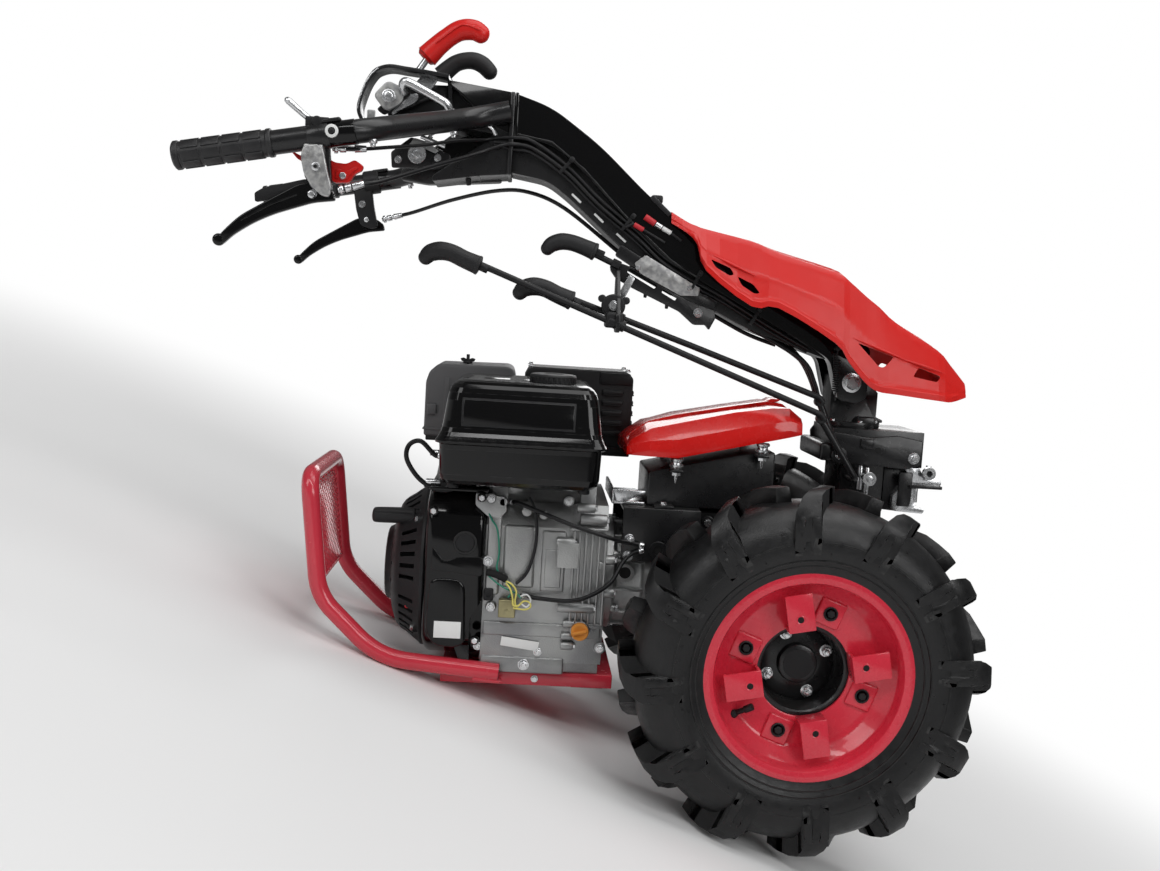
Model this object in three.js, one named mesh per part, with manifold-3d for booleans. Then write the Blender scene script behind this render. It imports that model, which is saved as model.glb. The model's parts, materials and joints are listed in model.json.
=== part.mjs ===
// A two-wheel walking tractor: engine in front of the axle, gearbox over it, tool hitch behind,
// and a handlebar that swings round and tilts on a column at the back of the gearbox.
// Millimetres. Everything is first laid out level, with the origin on the wheel axle at mid-width,
// +X to the hitch, +Y to the right wheel and +Z up. The whole machine is then turned nose down
// about the axle until its front guard rests on the ground, which is how it parks.
import * as THREE from 'three';
import { mergeVertices } from 'three/addons/utils/BufferGeometryUtils.js';
import Module from 'manifold-3d';

const wasm = await Module();
wasm.setup();
const { Manifold, Mesh: SolidMesh } = wasm;

// ---------- driving dimensions ----------
const GAP = 0.3; // between pieces that touch
const RUNNING = 0.5; // radial clearance of a shaft in its bore
const PASSING = 5; // between pieces that move past each other

const TRACK = 480; // between the tyres' centre planes
const TYRE_RADIUS = 250;
const TYRE_WIDTH = 130;
const TYRE_WALL = 10;
const TREAD_DEPTH = 22; // lugs and casing together
const SEAT_RADIUS = 127; // bead seat of a ten inch rim
const RIM_WIDTH = 92;
const RIM_SHEET = 3.2;
const RIM_LIP = 13; // flange height above the bead seat
const WELL_DEPTH = 15;
const DISC_OFFSET = 5; // inboard face of the disc, outboard of the tyre's centre plane
const DISC_SHEET = 5;
const DISC_HOLE_RADIUS = 62;
const HUB_FLANGE_RADIUS = 100;
const HUB_WALL = 4;
const HUB_CUP_DEPTH = 44;
const AXLE_RADIUS = 15;
const AXLE_IN_HOUSING = 55;
const HUB_BOSS = 24;
const TYRE_SEGMENTS = 32;
const TAB_ANGLE = 11; // of the first of the four rim tabs, from +X
const TAB_LENGTH = 50;
const TAB_WIDTH = 36;
const TAB_PLANE = 38; // outer face of the tabs, outboard of the tyre's centre plane

const BODY_WIDTH = 110; // gearbox casting
const BODY_FRONT = -189;
const BODY_REAR = 150;
const BODY_TOP = 176;
const BODY_BOTTOM = -80;
const SADDLE_HALF_WIDTH = 94;
const SADDLE_SHEET = 6;
const BOX_TOP = 244;
const COVER_MOUNTS = [-165, -42];
const BOX_HALF_WIDTH = 70;
const PTO_HEIGHT = 70;
const PTO_RADIUS = 17;
const PTO_FACE = 205;
const CRANK_HEIGHT = 70;
const ENGINE_REAR = -259;
const ENGINE_FRONT = -432;
const CRANKCASE_HALF_WIDTH = 112;
const ENGINE_BOTTOM = -62;
const CYLINDER_REACH = 215; // from mid-width to the cylinder head
const CYLINDER_TOP = 222;
const TANK_BOTTOM = 212;
const TANK_TOP = 356;
const GUARD_TUBE_RADIUS = 13.5;
const GUARD_HALF_WIDTH = 118;
const GUARD_HEIGHT = 207;

const COLUMN_X = 102; // swing axis of the handlebar
const COLUMN_TOP = 310; // top of the fixed bracket
const DECK_DEPTH = 52;
const KING_PIN_RADIUS = 12;
const KING_PIN_LENGTH = 36;
const HEAD_HALF_WIDTH = 26;
const TILT_X = 88;
const TILT_Z = 377;
const TILT_PIN_RADIUS = 10;
const BEAM_HALF_WIDTH = 50;
const BEAM_WAIST = 36; // half width of the beam's lower band
const YOKE_HALF_WIDTH = 45;
const HANDLE_TUBE_RADIUS = 15;
const HANDLE_HALF_SPAN = 257;
const GRIP_WALL = 2.7;
const GRIP_RADIUS = HANDLE_TUBE_RADIUS + GAP + GRIP_WALL;
const GRIP_LENGTH = 118;
const ROD_RADIUS = 4.5;
const CABLE_RADIUS = 3;
const CLAMP_X = -661; // of the lever clamps on the handle tubes
const SHROUD_RADIUS = 126;
const SHROUD_DEPTH = 84;
const ROD_ELBOWS = { gear: [34, -105, 331], pto: [36, -80, 354] };
const PLATE_FACE = 50; // near face of the lever plate, from mid-width
const ARM_INSET = 10; // the cranks stand this far inboard of their rods

const SIDES = { left: -1, right: 1 };

// ---------- colours ----------
const paint = {
  red: { color: 0xd01f1a, roughness: 0.35, metalness: 0.0 },
  rimRed: { color: 0xc8202f, roughness: 0.4, metalness: 0.0 },
  black: { color: 0x141416, roughness: 0.35, metalness: 0.1 },
  satinBlack: { color: 0x1c1c1e, roughness: 0.6, metalness: 0.0 },
  rubber: { color: 0x101010, roughness: 0.85, metalness: 0.0 },
  castAlloy: { color: 0xa8aaac, roughness: 0.5, metalness: 0.8 },
  zinc: { color: 0xc4c6c8, roughness: 0.35, metalness: 0.9 },
};

// ---------- shape helpers ----------
// One closed body with its faces pointing out, its shared corners merged.
function closed(geometry) {
  const bare = geometry.clone();
  bare.deleteAttribute('normal');
  bare.deleteAttribute('uv');
  const merged = mergeVertices(bare, 1e-3);
  const place = merged.attributes.position;
  const index = merged.index.array;
  const [a, b, c] = [new THREE.Vector3(), new THREE.Vector3(), new THREE.Vector3()];
  let volume = 0;
  const kept = [];
  for (let i = 0; i < index.length; i += 3) {
    const [p, q, r] = [index[i], index[i + 1], index[i + 2]];
    if (p === q || q === r || r === p) continue;
    kept.push(p, q, r);
    volume += a.fromBufferAttribute(place, p)
      .dot(b.fromBufferAttribute(place, q).cross(c.fromBufferAttribute(place, r)));
  }
  if (volume < 0) kept.reverse();
  merged.setIndex(kept);
  return merged;
}

function solid(geometry) {
  const body = closed(geometry);
  return new Manifold(new SolidMesh({
    numProp: 3,
    vertProperties: new Float32Array(body.attributes.position.array),
    triVerts: new Uint32Array(body.index.array),
  }));
}

function shell(body) {
  const mesh = body.getMesh();
  const geometry = new THREE.BufferGeometry();
  geometry.setAttribute('position', new THREE.BufferAttribute(mesh.vertProperties, 3));
  geometry.setIndex(new THREE.BufferAttribute(mesh.triVerts, 1));
  return geometry;
}

function joined(first, ...rest) {
  return shell(rest.reduce((sum, next) => sum.add(solid(next)), solid(first)));
}

function block(x0, x1, y0, y1, z0, z1) {
  const box = new THREE.BoxGeometry(x1 - x0, y1 - y0, z1 - z0);
  return box.translate((x0 + x1) / 2, (y0 + y1) / 2, (z0 + z1) / 2);
}

function outline(points) {
  const corners = points.map(([u, v]) => new THREE.Vector2(u, v));
  return new THREE.Shape(THREE.ShapeUtils.isClockWise(corners) ? corners.reverse() : corners);
}

// A side outline in X and Z, carried across from y0 to y1.
function sidePlate(shape, y0, y1) {
  const form = Array.isArray(shape) ? outline(shape) : shape;
  const plate = new THREE.ExtrudeGeometry(form, { depth: y1 - y0, bevelEnabled: false, curveSegments: 6 });
  return plate.rotateX(Math.PI / 2).translate(0, y1, 0);
}

// A front outline in Y and Z, carried along from x0 to x1.
function crossPlate(shape, x0, x1) {
  const form = Array.isArray(shape) ? outline(shape) : shape;
  const plate = new THREE.ExtrudeGeometry(form, { depth: x1 - x0, bevelEnabled: false, curveSegments: 6 });
  return plate.rotateX(Math.PI / 2).rotateZ(Math.PI / 2).translate(x0, 0, 0);
}

function turned(profile, segments) {
  return new THREE.LatheGeometry(profile.map(([r, h]) => new THREE.Vector2(r, h)), segments);
}

// A turned piece along X; the profile is [radius, x] pairs.
function turnedAlongX(profile, segments, y, z) {
  return turned(profile, segments).rotateZ(-Math.PI / 2).translate(0, y, z);
}

function turnedAlongZ(profile, segments, x, y) {
  return turned(profile, segments).rotateX(Math.PI / 2).translate(x, y, 0);
}

function pinAcross(radius, y0, y1, x, z, segments = 24) {
  const pin = new THREE.CylinderGeometry(radius, radius, y1 - y0, segments);
  return pin.translate(x, (y0 + y1) / 2, z);
}

// A path through corner points, each corner rounded over the given length on both sides.
function bentPath(corners, bend) {
  const points = corners.map((p) => new THREE.Vector3(...p));
  const path = new THREE.CurvePath();
  let from = points[0];
  for (let i = 1; i < points.length - 1; i += 1) {
    const back = points[i].clone().add(points[i - 1].clone().sub(points[i]).setLength(bend));
    const ahead = points[i].clone().add(points[i + 1].clone().sub(points[i]).setLength(bend));
    path.add(new THREE.LineCurve3(from, back));
    path.add(new THREE.QuadraticBezierCurve3(back, points[i], ahead));
    from = ahead;
  }
  path.add(new THREE.LineCurve3(from, points[points.length - 1]));
  return path;
}

function roundBar(path, radius, sides, steps) {
  const section = new THREE.Shape();
  for (let i = 0; i < sides; i += 1) {
    const turn = (i / sides) * 2 * Math.PI;
    const [u, v] = [radius * Math.cos(turn), radius * Math.sin(turn)];
    if (i === 0) section.moveTo(u, v);
    else section.lineTo(u, v);
  }
  section.closePath();
  return new THREE.ExtrudeGeometry(section, { steps, extrudePath: path, bevelEnabled: false });
}

// Closed loops of [y, z] points, one loop at each x, joined by a skin and closed at both ends.
function loft(stations) {
  const count = stations[0].loop.length;
  const places = [];
  const faces = [];
  for (const { x, loop } of stations) for (const [y, z] of loop) places.push(x, y, z);
  for (let s = 0; s < stations.length - 1; s += 1) {
    for (let i = 0; i < count; i += 1) {
      const [p, q] = [s * count + i, s * count + ((i + 1) % count)];
      faces.push(p, q, q + count, p, q + count, p + count);
    }
  }
  const cap = (loop) => THREE.ShapeUtils.triangulateShape(loop.map(([y, z]) => new THREE.Vector2(y, z)), []);
  const forward = THREE.ShapeUtils.isClockWise(stations[0].loop.map(([y, z]) => new THREE.Vector2(y, z)));
  const last = (stations.length - 1) * count;
  for (const [a, b, c] of cap(stations[0].loop)) faces.push(...(forward ? [a, b, c] : [a, c, b]));
  for (const [a, b, c] of cap(stations.at(-1).loop)) {
    faces.push(...(forward ? [last + a, last + c, last + b] : [last + a, last + b, last + c]));
  }
  const geometry = new THREE.BufferGeometry();
  geometry.setAttribute('position', new THREE.Float32BufferAttribute(places, 3));
  geometry.setIndex(faces);
  return geometry;
}

// Closed loops of [x, y, z] points joined by a skin and closed at both ends by fans.
function skin(loops) {
  const count = loops[0].length;
  const last = (loops.length - 1) * count;
  const faces = [];
  for (let s = 0; s < loops.length - 1; s += 1) {
    for (let i = 0; i < count; i += 1) {
      const [p, q] = [s * count + i, s * count + ((i + 1) % count)];
      faces.push(p, q, q + count, p, q + count, p + count);
    }
  }
  for (let i = 1; i < count - 1; i += 1) faces.push(0, i + 1, i, last, last + i, last + i + 1);
  const geometry = new THREE.BufferGeometry();
  geometry.setAttribute('position', new THREE.Float32BufferAttribute(loops.flat(2), 3));
  geometry.setIndex(faces);
  return geometry;
}

// ---------- the machine ----------
const level = new THREE.Group();

function piece(name, geometry, finish) {
  const mesh = new THREE.Mesh(closed(geometry), new THREE.MeshStandardMaterial(finish));
  mesh.name = name;
  level.add(mesh);
  return mesh;
}

// --- wheels: profiles are [radius, distance outboard of the tyre's centre plane] ---
const wheelPlane = TRACK / 2;
const hubFace = DISC_OFFSET - GAP;
const cupFloor = hubFace - HUB_CUP_DEPTH;
const bossEnd = cupFloor - HUB_BOSS;
const housingEnd = wheelPlane + bossEnd - PASSING;
const axleEnd = housingEnd - AXLE_IN_HOUSING;
const lipRadius = SEAT_RADIUS + RIM_LIP;

// A half section from its outer to its inner point on the centre plane, made whole and closed.
function wholeLoop(half) {
  const other = half.filter(([, h]) => h !== 0).map(([r, h]) => [r, -h]).reverse();
  return [...half, ...other, half[0]];
}

function tyre() {
  const half = TYRE_WIDTH / 2;
  const seat = (SEAT_RADIUS + GAP) / Math.cos(Math.PI / TYRE_SEGMENTS);
  const bead = RIM_WIDTH / 2 - RIM_SHEET - GAP;
  const sidewall = (TYRE_RADIUS + lipRadius) / 2;
  const foot = lipRadius + TYRE_WALL;
  return turned(wholeLoop([
    [TYRE_RADIUS, 0], [TYRE_RADIUS - 4, 0.6 * half], [TYRE_RADIUS - 16, 0.95 * half],
    [sidewall, half], [foot, 0.78 * half], [lipRadius + 1, bead], [seat, bead],
    [seat, bead - TYRE_WALL], [foot, 0.78 * half - TYRE_WALL], [sidewall, half - TYRE_WALL],
    [TYRE_RADIUS - TREAD_DEPTH - 3, 0.8 * half], [TYRE_RADIUS - TREAD_DEPTH, 0],
  ]), TYRE_SEGMENTS);
}

function rim() {
  const half = RIM_WIDTH / 2;
  const inner = half - RIM_SHEET;
  const well = SEAT_RADIUS - WELL_DEPTH;
  const [seatIn, wellIn] = [SEAT_RADIUS - RIM_SHEET, well - RIM_SHEET];
  const face = DISC_OFFSET + DISC_SHEET;
  const barrel = turned([
    [lipRadius, half], [lipRadius, inner], [SEAT_RADIUS, inner], [SEAT_RADIUS, 28], [well, 18],
    [well, -18], [SEAT_RADIUS, -28], [SEAT_RADIUS, -inner], [lipRadius, -inner], [lipRadius, -half],
    [seatIn, -half], [seatIn, -27], [wellIn, -17], [wellIn, DISC_OFFSET], [DISC_HOLE_RADIUS, DISC_OFFSET],
    [DISC_HOLE_RADIUS, face], [wellIn, face], [wellIn, 17], [seatIn, 27], [seatIn, half],
    [lipRadius, half],
  ], 28);
  const tabs = [];
  for (let i = 0; i < 4; i += 1) {
    const turn = THREE.MathUtils.degToRad(TAB_ANGLE + 90 * i);
    const top = block(wellIn - TAB_LENGTH, wellIn + 2, TAB_PLANE - 4, TAB_PLANE, -TAB_WIDTH / 2, TAB_WIDTH / 2);
    const leg = block(
      wellIn - TAB_LENGTH, wellIn - TAB_LENGTH + 4, face - 1, TAB_PLANE - 1, -TAB_WIDTH / 2, TAB_WIDTH / 2,
    );
    tabs.push(top.rotateY(-turn), leg.rotateY(-turn));
  }
  return joined(barrel, ...tabs);
}

function hub() {
  const rear = hubFace - 6;
  const cup = DISC_HOLE_RADIUS - 2;
  return turned([
    [0, cupFloor + 18], [26, cupFloor + 18], [28, cupFloor + 6], [51, cupFloor + 6], [51, cupFloor],
    [cup - HUB_WALL, cupFloor], [cup - HUB_WALL, hubFace], [HUB_FLANGE_RADIUS, hubFace],
    [HUB_FLANGE_RADIUS, rear], [cup, rear], [cup, cupFloor - 6], [38, cupFloor - 6], [38, bossEnd],
    [AXLE_RADIUS, bossEnd], [AXLE_RADIUS, axleEnd - wheelPlane], [0, axleEnd - wheelPlane],
  ], 20);
}

// Outboard is +Y on the right wheel; the left wheel is its mirror image.
function onSide(geometry, side, y) {
  return geometry.translate(0, y, 0).scale(1, side, 1);
}

function wheels() {
  for (const [name, side] of Object.entries(SIDES)) {
    piece(`tyre_${name}`, onSide(tyre(), side, wheelPlane), paint.rubber);
    piece(`rim_${name}`, onSide(rim(), side, wheelPlane), paint.rimRed);
    piece(`hub_${name}`, onSide(hub(), side, wheelPlane), paint.black);
  }
}

// --- gearbox, axle and hitch ---
function axleHousing() {
  const [bore, face] = [AXLE_RADIUS + RUNNING, BODY_WIDTH / 2 + GAP];
  const boreEnd = axleEnd - PASSING;
  return turned([
    [0, face], [70, face], [70, face + 10], [36, face + 16], [36, housingEnd - 25], [46, housingEnd - 18],
    [46, housingEnd], [bore, housingEnd], [bore, boreEnd], [0, boreEnd],
  ], 20);
}

function gearbox() {
  const half = BODY_WIDTH / 2;
  const side = [
    [BODY_FRONT, BODY_TOP], [BODY_FRONT, -20], [BODY_FRONT + 38, -60], [-60, BODY_BOTTOM], [70, BODY_BOTTOM],
    [BODY_REAR - 20, -45], [BODY_REAR, 10], [BODY_REAR, BODY_TOP],
  ];
  piece('transmission_housing', sidePlate(side, -half, half), paint.black);
  piece('clutch_housing', turnedAlongX([
    [0, ENGINE_REAR + GAP], [85, ENGINE_REAR + GAP], [85, ENGINE_REAR + 14], [76, ENGINE_REAR + 18],
    [76, BODY_FRONT - 14], [82, BODY_FRONT - 12], [82, BODY_FRONT - GAP], [0, BODY_FRONT - GAP],
  ], 20, 0, CRANK_HEIGHT), paint.castAlloy);
  for (const [name, side_] of Object.entries(SIDES)) {
    piece(`axle_housing_${name}`, onSide(axleHousing(), side_, 0), paint.black);
  }
}

function saddleAndBox() {
  const [top, sheet] = [BODY_TOP + GAP, SADDLE_SHEET];
  const [out, low] = [SADDLE_HALF_WIDTH, BODY_TOP - 72];
  piece('saddle_bracket', crossPlate([
    [-out, low], [-out, top + sheet], [out, top + sheet], [out, low], [out - sheet, low],
    [out - sheet, top], [-out + sheet, top], [-out + sheet, low],
  ], -238, -126), paint.black);
  const floor = top + sheet + GAP;
  const box = sidePlate([
    [-203, floor], [-203, BOX_TOP - 12], [-62, BOX_TOP + 22], [-20, BOX_TOP + 26], [-20, floor],
  ], -BOX_HALF_WIDTH, BOX_HALF_WIDTH);
  const mounts = [];
  for (const x of COVER_MOUNTS) {
    for (const side of [-1, 1]) {
      const y = side * (BOX_HALF_WIDTH + 12);
      const lug = coverEdge(x) - 20;
      mounts.push(block(x - 9, x + 9, Math.min(y, side * 66) - 2, Math.max(y, side * 66) + 2, lug - 4, lug));
      mounts.push(turnedAlongZ([
        [0, lug - 2], [6, lug - 2], [6, coverEdge(x - 6) - GAP], [0, coverEdge(x - 6) - GAP],
      ], 10, x, y));
    }
  }
  piece('riser_box', joined(box, ...mounts), paint.black);
}

// The lower edge of the gearbox cover: level at the nose, then rising to the rear.
function coverEdge(x) {
  return 257 + Math.max(0, x + 165) * 0.24;
}

// The faceted cover: a low nose in front, a long flank and a creased top.
function gearboxCover() {
  const station = (x, flank, ridge, half) => {
    const low = coverEdge(x);
    return {
      x,
      loop: [
        [-half, low], [half, low], [half, low + 0.4 * (flank - low)], [half - 14, flank], [0, ridge],
        [-half + 14, flank], [-half, low + 0.4 * (flank - low)],
      ],
    };
  };
  piece('gearbox_cover', loft([
    station(-238, 270, 274, 84), station(-205, 296, 303, 94), station(-165, 306, 318, 95), station(-85, 326, 334, 95),
    station(-32, 335, 345, 95), station(-7, 337, 341, 94), station(12, 322, 326, 90),
  ]), paint.red);
}

function hitch() {
  const housing = BODY_REAR + GAP;
  const deckUnderside = COLUMN_TOP - DECK_DEPTH;
  const end = PTO_FACE;
  piece('pto_housing', turnedAlongX([
    [0, housing], [62, housing], [62, housing + 14], [50, housing + 18], [50, end - 12], [60, end - 10],
    [60, end], [24, end], [24, end - 30], [PTO_RADIUS + RUNNING, end - 30],
    [PTO_RADIUS + RUNNING, housing + 8], [0, housing + 8],
  ], 20, 0, PTO_HEIGHT), paint.black);
  piece('pto_coupling', turnedAlongX([
    [0, housing + 10], [PTO_RADIUS, housing + 10], [PTO_RADIUS, end - 22], [21, end - 22],
    [21, end - 4], [12, end - 4], [12, end + 22], [0, end + 22],
  ], 20, 0, PTO_HEIGHT), paint.zinc);
  piece('hitch_latch', sidePlate([
    [181, 192], [207, 192], [210, 204], [194, 212], [194, 224], [228, 228], [228, 244], [214, 250],
    [198, deckUnderside - GAP], [176, deckUnderside - GAP], [184, 240], [BODY_REAR + 10, 214], [BODY_REAR + 10, 196],
  ], -58, -46), paint.zinc);
}

// --- the fixed bracket that carries the handlebar ---
function columnBase() {
  const foot = BODY_TOP + GAP;
  const post = solid(block(84, 150, -45, 45, foot, COLUMN_TOP - 20));
  const deck = solid(block(65, 200, -60, 60, COLUMN_TOP - DECK_DEPTH, COLUMN_TOP));
  const relief = solid(block(150, 201, -44, 44, COLUMN_TOP - DECK_DEPTH - 1, COLUMN_TOP - 12));
  const pinTop = COLUMN_TOP + KING_PIN_LENGTH;
  const kingPin = solid(turnedAlongZ([
    [0, COLUMN_TOP - 5], [KING_PIN_RADIUS, COLUMN_TOP - 5], [KING_PIN_RADIUS, pinTop], [0, pinTop],
  ], 24, COLUMN_X, 0));
  piece('column_base', shell(post.add(deck).subtract(relief).add(kingPin)), paint.black);
}

// Cranks beside the column; the rods hook on beside their upper ends.
function shiftArms() {
  const foot = { gear: [93, 240, 45], pto: [72, 272, 60] };
  for (const [name, [x, y, z]] of Object.entries(ROD_ELBOWS)) {
    const [footX, footZ, wall] = foot[name];
    const inner = y + ARM_INSET;
    const path = bentPath([[x + 2, inner, z - 6], [footX, inner, footZ], [footX, -wall - GAP, footZ]], 8);
    piece(`${name}_arm`, roundBar(path, ROD_RADIUS, 8, 12), paint.black);
  }
}

// --- engine ---
function engineBlock() {
  const half = CRANKCASE_HALF_WIDTH;
  const [front, rear] = [ENGINE_FRONT, ENGINE_REAR];
  const foot = ENGINE_BOTTOM + 17;
  const crankcase = crossPlate([
    [-half, foot], [-half, 150], [-half + 22, 182], [40, 188], [96, 188], [96, 20], [80, foot],
  ], front, rear);
  const base = block(front, rear - 3, -half + 12, half - 12, ENGINE_BOTTOM, foot + 1);
  const barrel = crossPlate([
    [80, 50], [80, 185], [108, CYLINDER_TOP], [CYLINDER_REACH, CYLINDER_TOP], [CYLINDER_REACH, 82],
  ], front, -282);
  const tankLegs = [front + 6, -300].map((x) => block(x, x + 22, -90, -66, 180, TANK_BOTTOM - GAP));
  const breather = block(-330, -300, -half - 14, -half + 1, 96, 132);
  piece('engine_block', joined(crankcase, base, barrel, ...tankLegs, breather), paint.castAlloy);
  const headFace = CYLINDER_REACH + GAP;
  piece('cylinder_head', joined(
    block(front + 6, -290, headFace, headFace + 32, 80, 212),
    block(front + 22, -306, headFace + 31, headFace + 46, 96, 198),
  ), paint.castAlloy);
}

function fanShroud() {
  const round = [];
  const steps = 14;
  for (let i = 0; i <= steps; i += 1) {
    const turn = THREE.MathUtils.degToRad(108 + (i * 232) / steps);
    round.push([SHROUD_RADIUS * Math.cos(turn), CRANK_HEIGHT + SHROUD_RADIUS * Math.sin(turn)]);
  }
  const duct = [
    [CYLINDER_REACH - 20, 40], [CYLINDER_REACH + 18, 90], [CYLINDER_REACH + 18, CYLINDER_TOP],
    [84, CYLINDER_TOP], [72, 194],
  ];
  const back = ENGINE_FRONT - GAP;
  piece('fan_shroud', crossPlate([...round, ...duct], back - SHROUD_DEPTH, back), paint.black);
}

function recoilStarter() {
  const back = ENGINE_FRONT - SHROUD_DEPTH - 2 * GAP;
  const cover = turnedAlongX([
    [0, back], [98, back], [98, back - 32], [88, back - 46], [70, back - 50], [58, back - 62], [0, back - 62],
  ], 28, 0, CRANK_HEIGHT - 3);
  const grip = block(-598, -536, -74, -46, 134, 160);
  const rope = block(-537, back - 8, -68, -52, 139, 155);
  piece('recoil_starter', joined(cover, grip, rope), paint.satinBlack);
}

// The tank: two pressed halves meet at a flange part of the way up.
function fuelTank() {
  const seam = 273;
  const ring = (z, x0, x1, y0, y1, corner) => ({ z, x0, x1, y0, y1, corner });
  const levels = [
    ring(TANK_BOTTOM, -484, -296, -170, 36, 16), ring(222, -498, -281, -184, 50, 18),
    ring(seam - 4, -500, -279, -186, 52, 18), ring(seam - 3, -506, -273, -192, 58, 20),
    ring(seam, -506, -273, -192, 58, 20), ring(seam + 1, -501, -278, -187, 53, 18),
    ring(TANK_TOP - 22, -495, -284, -180, 46, 20), ring(TANK_TOP - 8, -488, -291, -172, 38, 22),
    ring(TANK_TOP, -472, -306, -156, 22, 20),
  ];
  const loops = levels.map(({ z, x0, x1, y0, y1, corner: c }) => [
    [x0 + c, y0, z], [x1 - c, y0, z], [x1, y0 + c, z], [x1, y1 - c, z],
    [x1 - c, y1, z], [x0 + c, y1, z], [x0, y1 - c, z], [x0, y0 + c, z],
  ]);
  piece('fuel_tank', skin(loops), paint.black);
  const neck = TANK_TOP + GAP;
  piece('fuel_cap', turnedAlongZ([
    [0, neck], [30, neck], [33, neck + 2], [33, neck + 8], [30, neck + 11], [0, neck + 11],
  ], 24, -350, -104), paint.satinBlack);
}

function airAndExhaust() {
  const intakeTop = 245;
  const shroudTop = CYLINDER_TOP + GAP;
  piece('carburettor', block(-486, -446, 112, 168, shroudTop, intakeTop - GAP), paint.castAlloy);
  piece('air_cleaner', sidePlate([
    [-541, intakeTop], [-541, 338], [-523, 364], [-416, 366], [-404, 350], [-404, intakeTop],
  ], 68, 205), paint.satinBlack);
  const box = sidePlate([
    [-389, 232], [-389, 358], [-378, 367], [-228, 367], [-217, 356], [-217, 232],
  ], 100, 212);
  const elbow = block(-350, -308, 130, 190, shroudTop, 234);
  piece('muffler', joined(box, elbow), paint.satinBlack);
}

// --- front guard and the plate under the engine ---
function guard() {
  const side = (s) => [
    [-404, s * GUARD_HALF_WIDTH, -61], [-574, s * GUARD_HALF_WIDTH, -47], [-662, s * GUARD_HALF_WIDTH, 38],
    [-681, s * GUARD_HALF_WIDTH, GUARD_HEIGHT],
  ];
  const hoop = bentPath([...side(-1), ...side(1).reverse()], 42);
  piece('guard_frame', roundBar(hoop, GUARD_TUBE_RADIUS, 10, 44), paint.red);
  const reach = GUARD_HALF_WIDTH - GUARD_TUBE_RADIUS - GAP;
  const top = GUARD_HEIGHT - GUARD_TUBE_RADIUS - 2;
  const lean = (z) => -662 - ((z - 38) * 19) / (GUARD_HEIGHT - 38);
  const shape = (z0, z1) => [[lean(z0) - 1.5, z0], [lean(z1) - 1.5, z1], [lean(z1) + 1.5, z1], [lean(z0) + 1.5, z0]];
  piece('guard_mesh', joined(
    sidePlate(shape(52, top), -reach + 26, reach - 26),
    sidePlate(shape(52, top - 26), -reach + GAP, reach - GAP),
  ), paint.red);
}

function enginePlate() {
  const top = ENGINE_BOTTOM - GAP;
  const edge = GUARD_HALF_WIDTH - GUARD_TUBE_RADIUS - GAP;
  const low = top - 20;
  piece('engine_plate', crossPlate([
    [-edge, low], [-edge, top], [edge, top], [edge, low], [edge - 5, low], [edge - 5, top - 5],
    [-edge + 5, top - 5], [-edge + 5, low],
  ], -487, -240), paint.red);
}

// --- handlebar: head, beam, yoke and tubes ---
function columnHead() {
  const seat = COLUMN_TOP + GAP;
  const bore = KING_PIN_RADIUS + RUNNING;
  const boreTop = COLUMN_TOP + KING_PIN_LENGTH + 2;
  const disc = solid(turnedAlongZ([[0, seat], [46, seat], [46, seat + 8], [0, seat + 8]], 28, COLUMN_X, 0));
  const cheek = solid(sidePlate([
    [66, seat + 4], [66, TILT_Z + 8], [76, TILT_Z + 22], [100, TILT_Z + 22], [136, TILT_Z - 14], [136, seat + 4],
  ], -HEAD_HALF_WIDTH, HEAD_HALF_WIDTH));
  const hollow = solid(turnedAlongZ([[0, seat - 1], [bore, seat - 1], [bore, boreTop], [0, boreTop]], 24, COLUMN_X, 0));
  const pinHole = solid(pinAcross(TILT_PIN_RADIUS + RUNNING, -60, 60, TILT_X, TILT_Z));
  piece('column_head', shell(disc.add(cheek).subtract(hollow).subtract(pinHole)), paint.black);
}

const YOKE_REAR = -425;

function beam() {
  const upper = solid(sidePlate([
    [YOKE_REAR + GAP, 757], [-372, 741], [-301, 693], [-225, 625], [-164, 580], [-40, 520], [40, 482], [112, 428],
    [112, TILT_Z - 22], [98, TILT_Z - 30], [70, TILT_Z - 26], [54, 408], [20, 428], [-60, 468], [-190, 535],
    [-262, 596], [-322, 655], [-368, 690], [YOKE_REAR + GAP, 698],
  ], -BEAM_HALF_WIDTH, BEAM_HALF_WIDTH));
  const lower = solid(sidePlate([
    [YOKE_REAR + GAP, 720], [-310, 680], [-200, 570], [40, 450], [54, 408], [-67, 446], [-203, 509],
    [-264, 555], [-340, 618], [-372, 640], [YOKE_REAR + GAP, 648],
  ], -BEAM_WAIST, BEAM_WAIST));
  const fork = HEAD_HALF_WIDTH + RUNNING;
  const slot = solid(block(30, 160, -fork, fork, TILT_Z - 60, TILT_Z + 38));
  const pin = solid(pinAcross(TILT_PIN_RADIUS, -BEAM_HALF_WIDTH - 5, BEAM_HALF_WIDTH + 5, TILT_X, TILT_Z));
  piece('beam', shell(upper.add(lower).subtract(slot).add(pin)), paint.black);
}

function yoke() {
  piece('yoke', sidePlate([
    [-522, 768], [-430, 757], [YOKE_REAR, 757], [YOKE_REAR, 645], [-470, 640], [-537, 628], [-537, 636],
    [-448, 699], [-516, 708],
  ], -YOKE_HALF_WIDTH, YOKE_HALF_WIDTH), paint.black);
}

const tubeLine = YOKE_HALF_WIDTH + HANDLE_TUBE_RADIUS + GAP;
const HANDLE_START = [-834, 616];
const HANDLE_BEND = [-605, 662];

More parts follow.
